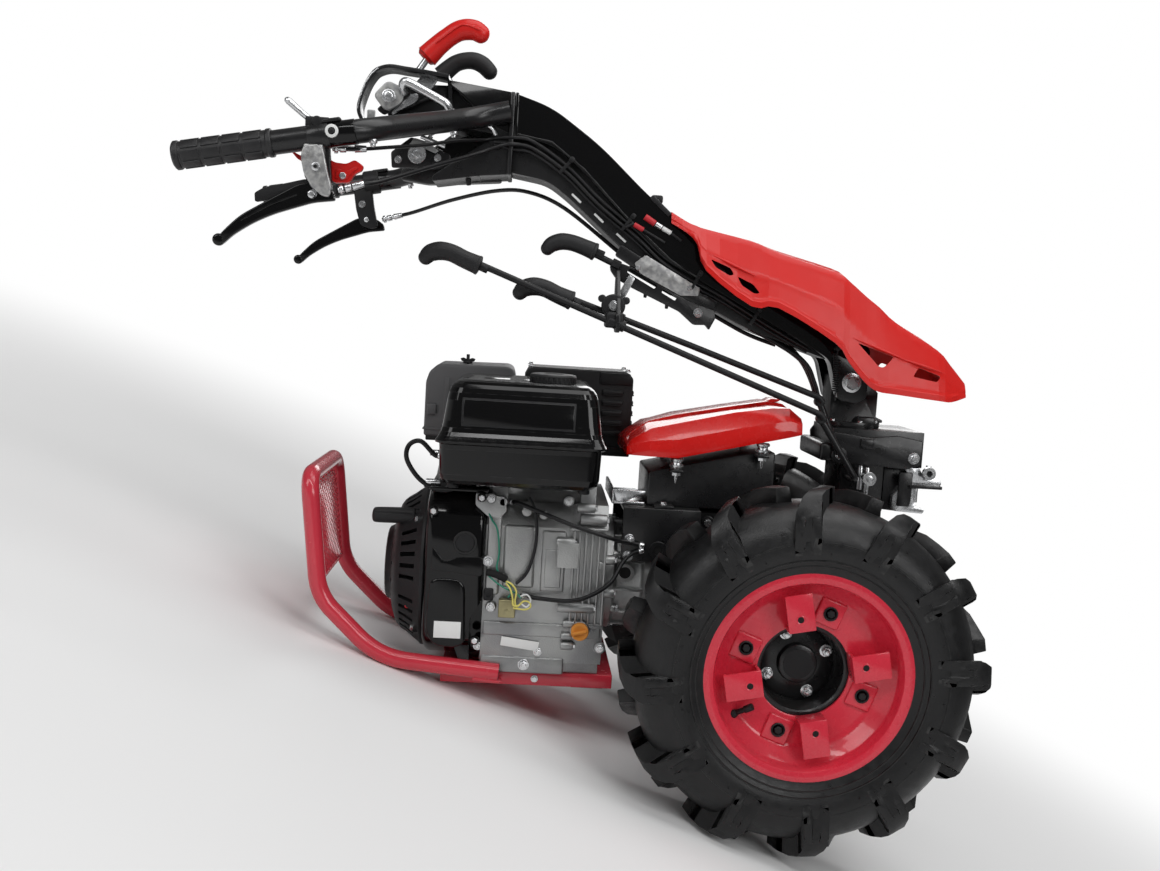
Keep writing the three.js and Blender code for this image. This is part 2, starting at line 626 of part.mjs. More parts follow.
function handleTubes() {
  for (const [name, side] of Object.entries(SIDES)) {
    const path = bentPath([
      [HANDLE_START[0], side * HANDLE_HALF_SPAN, HANDLE_START[1]],
      [HANDLE_BEND[0], side * HANDLE_HALF_SPAN, HANDLE_BEND[1]],
      [-486, side * tubeLine, 716], [-431, side * tubeLine, 730],
    ], 40);
    piece(`handle_tube_${name}`, roundBar(path, HANDLE_TUBE_RADIUS, 12, 16), paint.black);
  }
}

const handleSlope = Math.atan2(HANDLE_BEND[1] - HANDLE_START[1], HANDLE_BEND[0] - HANDLE_START[0]);

function handleHeight(x) {
  return HANDLE_START[1] + (x - HANDLE_START[0]) * Math.tan(handleSlope);
}

// Turned pieces strung on the handle tube: the profile is [radius, distance from x along the tube].
function onHandle(profile, segments, x, side) {
  return turned(profile, segments).rotateZ(-Math.PI / 2 ).rotateY(-handleSlope)
    .translate(x, side * HANDLE_HALF_SPAN, handleHeight(x));
}

function grips() {
  const bore = HANDLE_TUBE_RADIUS + GAP;
  for (const [name, side] of Object.entries(SIDES)) {
    piece(`grip_${name}`, onHandle([
      [0, -4], [GRIP_RADIUS - 3, -4], [GRIP_RADIUS, -1], [GRIP_RADIUS, GRIP_LENGTH - 4],
      [bore, GRIP_LENGTH - 4], [bore, -GAP], [0, -GAP],
    ], 20, HANDLE_START[0], side), paint.rubber);
  }
}

// --- hand levers ---
function levers() {
  const bore = HANDLE_TUBE_RADIUS + GAP;
  const ring = HANDLE_TUBE_RADIUS + 6;
  for (const [name, side] of Object.entries(SIDES)) {
    const collar = onHandle([
      [bore, -13], [ring, -13], [ring, 13], [bore, 13], [bore, -13],
    ], 20, CLAMP_X, side);
    const top = handleHeight(CLAMP_X) - ring + 3;
    const [y0, y1] = [HANDLE_HALF_SPAN - 12, HANDLE_HALF_SPAN];
    const hanger = sidePlate([
      [-678, 600], [-676, top - 3], [-648, top + 2], [-642, 584], [-652, 574], [-664, 578],
    ], ...(side > 0 ? [y0, y1] : [-y1, -y0]));
    piece(`lever_clamp_${name}`, joined(collar, hanger), side < 0 ? paint.castAlloy : paint.satinBlack);
    const [z0, z1] = [HANDLE_HALF_SPAN + GAP, HANDLE_HALF_SPAN + 10];
    piece(side < 0 ? 'clutch_lever' : 'brake_lever', sidePlate([
      [-783, 515], [-776, 511], [-768, 519], [-730, 550], [-666, 571], [-642, 562], [-636, 574], [-650, 590],
      [-684, 590], [-738, 566], [-780, 526],
    ], ...(side > 0 ? [z0, z1] : [-z1, -z0])), paint.black);
  }
  const inner = -HANDLE_HALF_SPAN + 12 + GAP;
  piece('safety_trigger', sidePlate([
    [-690, 624], [-652, 610], [-640, 596], [-622, 600], [-609, 618], [-614, 629], [-640, 619], [-652, 621],
    [-688, 630],
  ], inner, inner + 8), paint.red);
  const seat = handleHeight(CLAMP_X) + ring;
  piece('throttle_lever', sidePlate([
    [-672, seat + GAP - 1.8], [-657, seat + GAP + 1.2], [-661, seat + 13], [-672, seat + 12], [-696, seat + 32],
    [-702, seat + 26],
  ], -HANDLE_HALF_SPAN - 6, -HANDLE_HALF_SPAN + 6), paint.zinc);
}

// --- selector levers on the yoke ---
function selectorLevers() {
  const front = -522 - GAP;
  const strap = outline([[front, 712], [-633, 700], [-647, 724], [-617, 779], [front, 771]]);
  strap.holes.push(outline([[-527, 717], [-630, 706], [-640, 724], [-613, 773], [-528, 766]]));
  piece('control_bracket', sidePlate(strap, -78, -30), paint.black);
  const stem = block(-557, -546, -44, -34, 774 + GAP, 803);
  const redKnob = sidePlate([
    [-561, 812], [-541, 797], [-520, 815], [-500, 832], [-474, 832], [-470, 846], [-478, 856], [-512, 855],
    [-538, 838],
  ], -52, -26);
  piece('reverser_lever', joined(redKnob, stem), paint.red);
  const arm = sidePlate([[-521, 768 + 2 * GAP], [-508, 767 + GAP], [-528, 792], [-540, 788]], 24, 34);
  const blackKnob = sidePlate([
    [-545, 790], [-535, 782], [-510, 795], [-485, 796], [-468, 790], [-460, 797], [-466, 812], [-488, 820],
    [-515, 818], [-538, 804],
  ], 16, 42);
  piece('lock_lever', joined(blackKnob, arm), paint.satinBlack);
}

// --- hood over the beam: a thin open shell with a creased top ---
function hood() {
  const sheet = 3;
  const station = (x, top, ridge, low, ridgeHalf, lowHalf) => ({
    x,
    loop: [
      [-lowHalf, low], [-ridgeHalf, ridge], [0, top], [ridgeHalf, ridge], [lowHalf, low],
      [lowHalf - sheet, low], [ridgeHalf - sheet, ridge - sheet], [0, top - sheet],
      [-ridgeHalf + sheet, ridge - sheet], [-lowHalf + sheet, low],
    ],
  });
  piece('hood', loft([
    station(-193, 607, 605.2, 590, 54, 58), station(-170, 594, 591, 576, 60, 70), station(-157, 590, 587, 560, 64, 84),
    station(-144, 586, 583, 524, 67, 98), station(-77, 574, 569, 478, 76, 104), station(-39, 562, 555, 478, 79, 105),
    station(45, 541, 533, 434, 82, 106), station(66, 530, 521, 409, 82, 106), station(92, 509, 501, 379, 82, 106),
    station(112, 495, 487, 369, 82, 105), station(139, 473, 466, 366, 80, 104), station(204, 438, 431, 360, 74, 96),
    station(226, 414, 411, 359, 70, 88), station(252, 388, 385, 366, 64, 72),
  ]), paint.red);
}

// --- shift rods, their guide and the lever plate under the beam ---
const rodRoutes = {
  gear: [[-462, 513], [-273, 444]],
  pto: [[-330, 473], [-157, 418]],
};

function rodAt(name, x) {
  const [[x0, z0], [x1, z1]] = rodRoutes[name];
  const elbow = ROD_ELBOWS[name];
  if (x < x1) return z0 + ((z1 - z0) * (x - x0)) / (x1 - x0);
  return z1 + ((elbow[2] - z1) * (x - x1)) / (elbow[0] - x1);
}

function shiftRods() {
  for (const [name, [x, y, z]] of Object.entries(ROD_ELBOWS)) {
    const route = rodRoutes[name].map(([u, v]) => [u, y, v]);
    const bar = roundBar(bentPath([...route, [x, y, z], [x + 4, y, z - 6]], 5), ROD_RADIUS, 8, 20);
    const [[kx, , kz]] = route;
    const knob = sidePlate([
      [kx - 78, kz + 8], [kx - 72, kz - 4], [kx - 48, kz + 2], [kx - 28, kz - 6], [kx + 4, kz - 13],
      [kx + 8, kz + 4], [kx - 22, kz + 19], [kx - 46, kz + 25], [kx - 68, kz + 21],
    ], y - 13, y + 13);
    piece(`${name}_rod`, joined(bar, knob), paint.satinBlack);
  }
}

function leverPlate() {
  const near = -BEAM_WAIST - GAP;
  const plate = sidePlate([
    [-280, 535], [-270, 566], [-190, 522], [-118, 486], [-120, 440], [-150, 442], [-262, 505],
  ], -PLATE_FACE, near);
  const stem = block(-300, -272, -52, -42, 538, 548);
  const knob = sidePlate([
    [-292, 533], [-296, 553], [-335, 564], [-360, 559], [-373, 548], [-367, 536], [-346, 545], [-318, 540],
  ], -60, -34);
  piece('lever_plate', joined(plate, stem, knob), paint.satinBlack);
  const face = -PLATE_FACE - GAP;
  const x = -265;
  const guide = outline([
    [face, 520], [face, 492], [-66, 440], [-92, 428], [-118, 428], [-118, 455], [-62, 520],
  ]);
  for (const [name, [, y]] of Object.entries(ROD_ELBOWS)) {
    const eye = new THREE.Path();
    eye.absarc(y, rodAt(name, x), ROD_RADIUS + 3 * RUNNING, 0, 2 * Math.PI, true);
    guide.holes.push(eye);
  }
  piece('rod_support', crossPlate(guide, x - 3, x + 3), paint.zinc);
}

// --- cables and the fuel hose, each held all the way ---
function cable(name, points, radius, steps) {
  const curve = new THREE.CatmullRomCurve3(points.map((p) => new THREE.Vector3(...p)), false, 'centripetal');
  piece(name, roundBar(curve, radius, 8, steps), paint.rubber);
}

function cables() {
  const side = -BEAM_WAIST - CABLE_RADIUS - 3 * GAP;
  cable('clutch_cable', [
    [-635.4, -262, 574], [-622, -260, 578], [-590, -215, 598], [-530, -130, 638], [-482, -70, 668],
    [-440, -56, 684], [-422, -52, 687], [-398, side, 686], [-372, side, 680], [-326, side, 646],
    [-266, side, 587], [-190, side, 530], [-118, side, 493], [-60, side, 463], [-14, side, 440],
  ], CABLE_RADIUS, 34);
  cable('brake_cable', [
    [-635.4, 262, 574], [-622, 260, 578], [-590, 225, 598], [-520, 150, 622], [-450, 80, 632], [-400, 30, 628],
    [-345, 0, 606], [-264, -10, 548], [-203, -10, 503], [-130, -10, 470], [-67, -10, 440], [-20, -10, 425],
  ], CABLE_RADIUS, 34);
  cable('throttle_cable', [
    [-647.4, -239, 652], [-630, -237, 652], [-595, -222, 645], [-560, -178, 656], [-520, -126, 672],
    [-484, -72, 684], [-464, -50, 690], [-448, -47.6, 694],
  ], CABLE_RADIUS - 1, 20);
  const flank = -CRANKCASE_HALF_WIDTH - CABLE_RADIUS - 2 * GAP;
  const saddleFace = -SADDLE_HALF_WIDTH - CABLE_RADIUS - 2 * GAP;
  cable('governor_cable', [
    [-400, flank + 18, 181], [-384, flank + 2, 182], [-350, flank - 14, 172], [-310, flank - 14, 158],
    [-256, flank - 8, 142], [-236, saddleFace - 6, 134], [-222, saddleFace, 131], [-212, saddleFace, 129],
  ], CABLE_RADIUS, 24);
  cable('stop_cable', [
    [-368, flank, 51], [-350, flank - 6, 50], [-300, flank - 14, 52], [-256, flank - 6, 74],
    [-236, saddleFace - 6, 104], [-222, saddleFace, 116], [-212, saddleFace, 120],
  ], CABLE_RADIUS, 24);
  cable('fuel_hose', [
    [-500.6, -104, 243], [-510, -104, 243.6], [-530, -106, 262], [-546, -108, 256], [-548, -110, 236],
    [-530, -110, 210], [-505, -110, 196], [-484, -110, 197], [-478, -110, 205], [-478, -110, TANK_BOTTOM - GAP],
  ], CABLE_RADIUS, 24);
}

// ---------- assembly ----------
wheels();
gearbox();
saddleAndBox();
gearboxCover();
hitch();
columnBase();
shiftArms();
engineBlock();
fanShroud();
recoilStarter();
fuelTank();
airAndExhaust();
guard();
enginePlate();
columnHead();
beam();
yoke();
handleTubes();
grips();
levers();
selectorLevers();
hood();
shiftRods();
leverPlate();
cables();

// ---------- parking ----------
// The nose-down angle at which the guard's lowest point is level with the tyres' underside.
function parkAngle() {
  const place = level.children.find((mesh) => mesh.name === 'guard_frame').geometry.attributes.position;
  const ground = -TYRE_RADIUS * Math.cos(Math.PI / TYRE_SEGMENTS);
  const lowest = (angle) => {
    let low = Infinity;
    for (let i = 0; i < place.count; i += 1) {
      low = Math.min(low, place.getX(i) * Math.sin(angle) + place.getZ(i) * Math.cos(angle));
    }
    return low;
  };
  let [up, down] = [0, Math.PI / 4];
  for (let i = 0; i < 40; i += 1) {
    const middle = (up + down) / 2;
    if (lowest(middle) > ground) up = middle;
    else down = middle;
  }
  return (up + down) / 2;
}

const nose = parkAngle();
const onGround = Math.PI / TYRE_SEGMENTS;
for (const mesh of level.children) {
  if (mesh.name.startsWith('tyre_')) mesh.geometry.rotateY(nose + onGround);
}
level.rotation.y = -nose;
const part = new THREE.Group();
part.add(level);
part.updateMatrixWorld(true);
const box = new THREE.Box3().setFromObject(part, true);
const middle = box.getCenter(new THREE.Vector3());
level.position.set(-middle.x, -middle.y, -box.min.z);

export default part;
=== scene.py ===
"""A two-wheel walking tractor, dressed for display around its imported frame.
Pieces are shaped in millimetres as the machine stands level, with the origin on the wheel axle at
mid-width, +X to the hitch, -Y to the operator's left and +Z up, and are then set down as it parks."""

import json
import math
import random

import bmesh
import bpy
from mathutils import Matrix, Vector


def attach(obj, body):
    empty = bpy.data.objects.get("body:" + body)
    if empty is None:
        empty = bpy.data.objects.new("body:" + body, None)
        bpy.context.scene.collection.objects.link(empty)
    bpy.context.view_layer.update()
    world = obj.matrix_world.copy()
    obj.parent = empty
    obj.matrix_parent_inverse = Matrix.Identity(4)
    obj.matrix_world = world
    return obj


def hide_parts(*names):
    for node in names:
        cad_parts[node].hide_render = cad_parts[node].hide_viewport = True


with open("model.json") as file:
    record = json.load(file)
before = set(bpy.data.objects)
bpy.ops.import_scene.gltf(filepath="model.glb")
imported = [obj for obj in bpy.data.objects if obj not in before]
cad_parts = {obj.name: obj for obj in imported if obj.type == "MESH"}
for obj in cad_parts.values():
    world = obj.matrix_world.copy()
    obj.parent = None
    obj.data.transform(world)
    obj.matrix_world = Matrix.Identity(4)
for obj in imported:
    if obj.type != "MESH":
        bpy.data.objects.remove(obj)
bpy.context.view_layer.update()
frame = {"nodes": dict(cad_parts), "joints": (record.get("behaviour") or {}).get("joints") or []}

# ---------- the parked attitude, from the joints ----------
JOINTS = {joint["name"]: joint for joint in frame["joints"]}
SWING_AXIS = JOINTS["handlebar_swing"]["axis"]
NOSE_DOWN = math.atan2(-SWING_AXIS[0], SWING_AXIS[2])
AXLE = Vector((JOINTS["wheel_left_spin"]["pos_m"][0], 0, JOINTS["wheel_left_spin"]["pos_m"][2]))
PARK = Matrix.Translation(AXLE) @ Matrix.Rotation(-NOSE_DOWN, 4, "Y")
LEVEL_MM = PARK @ Matrix.Scale(0.001, 4)

TRACK = 480
NEAR, FAR = -1, 1
SIDES = (("left", NEAR), ("right", FAR))
LAID = Matrix(((1, 0, 0, 0), (0, 0, 1, 0), (0, 1, 0, 0), (0, 0, 0, 1)))
NEARWARD = Vector((0, -1, 0))
FARWARD = Vector((0, 1, 0))


# ---------- camera and lamps ----------
def camera():
    """The eye stands to the left and a little ahead, and leans with the machine as it parks."""
    stand = (-0.3947, -1.7789, 0.4456)
    yaw, pitch, roll = 0.052, 0.097, math.radians(3.5)
    ahead = Vector((math.sin(yaw) * math.cos(pitch), math.cos(yaw) * math.cos(pitch), -math.sin(pitch)))
    right = Vector((math.cos(yaw), -math.sin(yaw), 0))
    up = right.cross(ahead)
    across = right * math.cos(roll) + up * math.sin(roll)
    upright = up * math.cos(roll) - right * math.sin(roll)
    turn = Matrix((across, upright, -ahead)).transposed().to_4x4()
    eye = bpy.data.objects.new("camera", bpy.data.cameras.new("camera"))
    eye.data.sensor_width = 36
    eye.data.lens = 37.05
    eye.data.clip_end = 60
    eye.matrix_world = PARK @ Matrix.Translation(stand) @ turn
    bpy.context.scene.collection.objects.link(eye)
    bpy.context.scene.camera = eye


def soft_lamp(name, place, target, size, power):
    lamp = bpy.data.lights.new(name, "AREA")
    lamp.shape = "RECTANGLE"
    lamp.size, lamp.size_y = size
    lamp.energy = power
    holder = bpy.data.objects.new(name, lamp)
    aim = (Vector(target) - Vector(place)).to_track_quat("-Z", "Y")
    holder.matrix_world = Matrix.Translation(place) @ aim.to_matrix().to_4x4()
    bpy.context.scene.collection.objects.link(holder)


# ---------- what every finish shares ----------
def group(name, inputs, outputs):
    tree = bpy.data.node_groups.new(name, "ShaderNodeTree")
    for label, kind, value in inputs:
        socket = tree.interface.new_socket(label, in_out="INPUT", socket_type=kind)
        if value is not None:
            socket.default_value = value
    for label, kind in outputs:
        tree.interface.new_socket(label, in_out="OUTPUT", socket_type=kind)
    return tree, tree.nodes.new("NodeGroupInput"), tree.nodes.new("NodeGroupOutput")


def feed(tree, value, socket):
    """Links a socket to the value when it is one, and sets it when it is a plain number or colour."""
    if isinstance(value, bpy.types.NodeSocket):
        tree.links.new(value, socket)
    else:
        socket.default_value = value


def worked(tree, operation, *values):
    """The outcome of a maths node on sockets and plain numbers."""
    node = tree.nodes.new("ShaderNodeMath")
    node.operation = operation
    for socket, value in zip(node.inputs, values):
        feed(tree, value, socket)
    return node.outputs[0]


def noise(tree, vector, scale, detail):
    node = tree.nodes.new("ShaderNodeTexNoise")
    node.inputs["Detail"].default_value = detail
    tree.links.new(vector, node.inputs["Vector"])
    feed(tree, scale, node.inputs["Scale"])
    return node.outputs["Fac"]


def mapped(tree, value, low, high, smooth=False, to=(0, 1)):
    node = tree.nodes.new("ShaderNodeMapRange")
    if smooth:
        node.interpolation_type = "SMOOTHSTEP"
    node.inputs["From Min"].default_value = low
    node.inputs["From Max"].default_value = high
    node.inputs["To Min"].default_value, node.inputs["To Max"].default_value = to
    tree.links.new(value, node.inputs["Value"])
    return node.outputs[0]


def mixed(tree, amount, first, second, blend="MIX"):
    node = tree.nodes.new("ShaderNodeMix")
    node.data_type = "RGBA"
    node.blend_type = blend
    for socket, value in ((node.inputs[0], amount), (node.inputs[6], first), (node.inputs[7], second)):
        feed(tree, value, socket)
    return node.outputs[2]


DEEPER_TINT = (0.55, 0.55, 0.58, 1)
DUST_TINT = (0.42, 0.4, 0.38, 1)
EDGE_REACH = 0.0012
DUST_DULLNESS = 0.7


def handled_surface_and_edge_highlight():
    """Colour and gloss that wander a little over a piece, with dust on what faces up and paler edges, partly
    wear and partly a painted highlight.
    """
    tree, start, end = group(
        "handled_surface_and_edge_highlight", [("Color", "NodeSocketColor", None), ("Shift", "NodeSocketFloat", 0.1),
        ("Patch Scale", "NodeSocketFloat", 6.0), ("Roughness", "NodeSocketFloat", 0.4),
        ("Spread", "NodeSocketFloat", 0.1), ("Dust", "NodeSocketFloat", 0.1),
        ("Edge Color", "NodeSocketColor", None), ("Edge", "NodeSocketFloat", 0.2)],
        [("Color", "NodeSocketColor"), ("Roughness", "NodeSocketFloat")])
    given, links = start.outputs, tree.links
    place = tree.nodes.new("ShaderNodeTexCoord").outputs
    patches = noise(tree, place["Object"], given["Patch Scale"], 5)
    fine = noise(tree, place["Object"], 90, 4)
    shift = worked(tree, "MULTIPLY", mapped(tree, patches, 0.35, 0.7, True), given["Shift"])
    deeper = mixed(tree, 1.0, given["Color"], DEEPER_TINT, "MULTIPLY")
    colour = mixed(tree, shift, given["Color"], deeper)
    # Edges lighten towards Edge Color: partly wear, partly a painted highlight along rims and creases.
    bevel = tree.nodes.new("ShaderNodeBevel")
    bevel.samples = 4
    bevel.inputs["Radius"].default_value = EDGE_REACH
    facing = tree.nodes.new("ShaderNodeNewGeometry")
    turn = tree.nodes.new("ShaderNodeVectorMath")
    turn.operation = "DOT_PRODUCT"
    links.new(bevel.outputs[0], turn.inputs[0])
    links.new(facing.outputs["Normal"], turn.inputs[1])
    edge = mapped(tree, turn.outputs["Value"], 0.985, 0.85)
    worn_and_highlit = worked(tree, "MULTIPLY", edge, mapped(tree, fine, 0.4, 0.62, True))
    colour = mixed(tree, worked(tree, "MULTIPLY", worn_and_highlit, given["Edge"]), colour, given["Edge Color"])
    upward = tree.nodes.new("ShaderNodeSeparateXYZ")
    links.new(place["Normal"], upward.inputs[0])
    lying = mapped(tree, upward.outputs["Z"], 0.35, 1.0, True)
    settled = worked(tree, "MULTIPLY", lying, mapped(tree, patches, 0.3, 0.75))
    dust = worked(tree, "MULTIPLY", settled, given["Dust"])
    links.new(mixed(tree, dust, colour, DUST_TINT), end.inputs["Color"])
    wander = mapped(tree, fine, 0.25, 0.75, to=(-0.5, 0.5))
    rough = worked(tree, "MULTIPLY_ADD", wander, given["Spread"], given["Roughness"])
    dulled = worked(tree, "MULTIPLY_ADD", dust, DUST_DULLNESS, rough)
    dulled.node.use_clamp = True
    links.new(dulled, end.inputs["Roughness"])
    return tree


def moulded_grain():
    """Height of a fine pebbled skin, as on moulded plastic, rubber and sand castings."""
    tree, start, end = group(
        "moulded_grain", [("Scale", "NodeSocketFloat", 400.0), ("Waves", "NodeSocketFloat", 0.3)],
        [("Height", "NodeSocketFloat")])
    place = tree.nodes.new("ShaderNodeTexCoord").outputs["Object"]
    pebbles = tree.nodes.new("ShaderNodeTexVoronoi")
    pebbles.feature = "SMOOTH_F1"
    tree.links.new(place, pebbles.inputs["Vector"])
    tree.links.new(start.outputs["Scale"], pebbles.inputs["Scale"])
    waves = noise(tree, place, 28, 3)
    height = worked(tree, "MULTIPLY_ADD", waves, start.outputs["Waves"], pebbles.outputs["Distance"])
    tree.links.new(height, end.inputs["Height"])
    return tree


# ---------- studio ----------
def studio():
    soft_lamp("overhead", (0.0, -0.3, 2.6), (0, 0, 0.3), (2.4, 1.6), 30)
    soft_lamp("strip_light", (-0.3, -1.9, 2.3), (-0.1, 0, 0.4), (2.8, 0.24), 17)
    soft_lamp("left_front", (-2.4, -2.0, 1.6), (0, 0, 0.4), (1.2, 1.6), 20)
    soft_lamp("right_front", (1.6, -2.6, 1.9), (0.2, 0, 0.4), (1.6, 1.0), 22)
    soft_lamp("far_side", (0.4, 2.7, 1.8), (0, 0, 0.4), (2.2, 1.2), 26)
    world = bpy.data.worlds.new("studio")
    bpy.context.scene.world = world
    world.use_nodes = True
    tree = world.node_tree
    shade = tree.nodes["Background"]
    seen = tree.nodes.new("ShaderNodeLightPath").outputs
    backdrop = worked(tree, "MAXIMUM", seen["Is Camera Ray"], seen["Is Transmission Ray"])
    tree.links.new(mapped(tree, backdrop, 0, 1, to=(0.14, 1.0)), shade.inputs["Strength"])
    shade.inputs["Color"].default_value = (1, 1, 1, 1)
    bpy.context.scene.view_settings.view_transform = "Standard"


def floor():
    """A pale disc that glows to white away from the machine where the camera sees it."""
    bm = bmesh.new()
    bmesh.ops.create_circle(bm, cap_ends=True, segments=96, radius=9)
    mesh = bpy.data.meshes.new("floor")
    bm.to_mesh(mesh)
    bm.free()
    ground = bpy.data.objects.new("floor", mesh)
    bpy.context.scene.collection.objects.link(ground)
    pale = bpy.data.materials.new("pale_floor")
    pale.use_nodes = True
    tree = pale.node_tree
    nodes, links = tree.nodes, tree.links
    matt = nodes["Principled BSDF"]
    matt.inputs["Base Color"].default_value = (0.86, 0.86, 0.86, 1)
    matt.inputs["Roughness"].default_value = 0.9
    matt.inputs["Specular IOR Level"].default_value = 0.1
    away = nodes.new("ShaderNodeVectorMath")
    away.operation = "LENGTH"
    links.new(nodes.new("ShaderNodeTexCoord").outputs["Object"], away.inputs[0])
    fade = mapped(tree, away.outputs["Value"], 0.7, 2.6, True)
    seen = nodes.new("ShaderNodeLightPath").outputs["Is Camera Ray"]
    both = nodes.new("ShaderNodeMixShader")
    links.new(worked(tree, "MULTIPLY", fade, seen), both.inputs[0])
    links.new(matt.outputs[0], both.inputs[1])
    links.new(nodes.new("ShaderNodeEmission").outputs[0], both.inputs[2])
    links.new(both.outputs[0], nodes["Material Output"].inputs["Surface"])
    mesh.materials.append(pale)


# ---------- the finishes in use ----------
HANDLED_AND_HIGHLIT = handled_surface_and_edge_highlight()
GRAIN = moulded_grain()
FINISHES = {}


def finish(name, colour, rough, *, metal=0.0, coat=0.0, shift=0.25, patch=7.0, spread=0.12, dust=0.06,
           edge_colour=None, edge=0.15, grain=500.0, waves=0.3, depth=0.1, shine=0.35, slot=None):
    """A finish of its own name, with its wander, its grain, and edges lightened partly by wear and partly by
    a painted highlight.
    """
    surface = bpy.data.materials.new(name)
    surface.use_nodes = True
    tree = surface.node_tree
    skin = tree.nodes["Principled BSDF"]
    wander = tree.nodes.new("ShaderNodeGroup")
    wander.node_tree = HANDLED_AND_HIGHLIT
    # Unless given, the edge colour is a paler tone of the colour: partly wear, partly a painted highlight.
    lighter = tuple(min(1, 0.12 + 1.25 * c) for c in colour)
    values = {"Color": (*colour, 1), "Shift": shift, "Patch Scale": patch, "Roughness": rough,
              "Spread": spread, "Dust": dust, "Edge Color": (*(edge_colour or lighter), 1), "Edge": edge}
    for label, value in values.items():
        wander.inputs[label].default_value = value
    tree.links.new(wander.outputs["Color"], skin.inputs["Base Color"])
    tree.links.new(wander.outputs["Roughness"], skin.inputs["Roughness"])
    pebbles = tree.nodes.new("ShaderNodeGroup")
    pebbles.node_tree = GRAIN
    pebbles.inputs["Scale"].default_value = grain
    pebbles.inputs["Waves"].default_value = waves
    relief = tree.nodes.new("ShaderNodeBump")
    relief.inputs["Strength"].default_value = depth
    relief.inputs["Distance"].default_value = 0.0006
    tree.links.new(pebbles.outputs["Height"], relief.inputs["Height"])
    tree.links.new(relief.outputs[0], skin.inputs["Normal"])
    skin.inputs["Metallic"].default_value = metal
    skin.inputs["Coat Weight"].default_value = coat
    skin.inputs["Coat Roughness"].default_value = 0.06
    skin.inputs["Specular IOR Level"].default_value = shine
    FINISHES[name] = (surface, slot)
    return name


# Each finish's edge and edge_colour set how far its edges lighten: partly wear, partly a painted highlight.
TYRE = finish(
    "tyre_rubber", (0.0055, 0.0055, 0.006), 0.38, grain=900, waves=0.6, depth=0.35, shift=0.45, dust=0.02,
    edge=0.5, edge_colour=(0.05, 0.05, 0.049), slot="tyre_rubber", shine=0.42, spread=0.25)
RIM_RED = finish(
    "rim_enamel", (0.66, 0.025, 0.050), 0.28, grain=260, waves=1.2, depth=0.12, coat=0.55, shift=0.2,
    edge=0.4, edge_colour=(0.78, 0.13, 0.16), slot="rim_red", shine=0.35)
RED_ENAMEL = finish(
    "red_enamel", (0.66, 0.008, 0.006), 0.26, grain=260, waves=1.0, depth=0.08, coat=0.4, edge=0.2,
    slot="red_paint", shine=0.3)
RED_PLASTIC = finish(
    "moulded_red", (0.60, 0.012, 0.009), 0.36, grain=900, waves=0.4, depth=0.05, coat=0.1, shift=0.15,
    edge=0.04, edge_colour=(0.85, 0.2, 0.16), slot="red_plastic", shine=0.28)
GLOSS = finish(
    "gloss_black", (0.0025, 0.0025, 0.0028), 0.12, grain=300, waves=0.15, depth=0.03, coat=0.42, dust=0.03,
    spread=0.05, edge=0.2, slot="black_paint", shine=0.15)
PAINT = finish(
    "black_enamel", (0.010, 0.010, 0.0108), 0.30, grain=300, waves=0.3, depth=0.08, coat=0.1, edge=0.35,
    edge_colour=(0.09, 0.09, 0.095), slot="black_paint", shine=0.4)
SATIN = finish(
    "satin_black", (0.012, 0.012, 0.013), 0.46, grain=420, waves=0.6, depth=0.2, edge=0.35,
    edge_colour=(0.10, 0.10, 0.105), slot="satin_black", shine=0.28)
PLASTIC = finish(
    "black_plastic", (0.016, 0.016, 0.017), 0.52, grain=1100, waves=0.2, depth=0.35, edge=0.3,
    edge_colour=(0.12, 0.12, 0.12), slot="black_plastic", shine=0.3)
CAST = finish(
    "cast_alloy", (0.40, 0.405, 0.40), 0.37, metal=0.85, grain=620, waves=1.2, depth=0.6, shift=0.75,
    patch=14, dust=0.04, edge=0.5, edge_colour=(0.85, 0.86, 0.87), slot="cast_aluminium")
CAST_DARK = finish(
    "cast_alloy_shade", (0.33, 0.335, 0.345), 0.5, metal=0.6, grain=620, waves=1.2, depth=0.5, shift=0.5,
    patch=14, dust=0.03, edge=0.5, edge_colour=(0.7, 0.7, 0.72), slot="cast_aluminium")
ZINC = finish(
    "zinc_steel", (0.74, 0.75, 0.76), 0.26, metal=0.95, grain=380, waves=1.0, depth=0.12, shift=0.35,
    patch=60, dust=0.02, edge=0.3, edge_colour=(0.95, 0.95, 0.95), slot="zinc_steel")
GALVANISED = finish(
    "galvanised_plate", (0.52, 0.52, 0.51), 0.4, metal=0.85, grain=160, waves=2.5, depth=0.6, shift=0.9,
    patch=150, spread=0.3, edge=0.4, edge_colour=(0.6, 0.6, 0.6), slot="zinc_steel")
GRIP = finish(
    "grip_rubber", (0.010, 0.010, 0.011), 0.36, grain=1300, waves=0.2, depth=0.5, edge=0.35,
    edge_colour=(0.07, 0.07, 0.07), slot="grip_rubber", shine=0.5)
SHEATH = finish(
    "cable_sheath", (0.009, 0.009, 0.010), 0.34, grain=700, waves=0.4, depth=0.1, edge=0.1,
    slot="cable_sheath", shine=0.3)
FILTER_GREY = finish(
    "filter_housing", (0.11, 0.11, 0.113), 0.5, grain=1100, waves=0.2, depth=0.3, shine=0.3, edge=0.3,
    edge_colour=(0.14, 0.14, 0.14), slot="black_plastic")
OIL_CAP = finish("ochre_plastic", (0.72, 0.27, 0.035), 0.42, grain=900, waves=0.4, depth=0.2, edge=0.3)
LABEL = finish("blank_label", (0.80, 0.80, 0.79), 0.4, grain=200, waves=0.6, depth=0.04, shift=0.15, edge=0.1)
BRASS = finish(
    "passivated_zinc", (0.40, 0.36, 0.20), 0.34, metal=0.8, grain=300, waves=1.0, depth=0.15, shift=0.5,
    patch=50, edge=0.4)
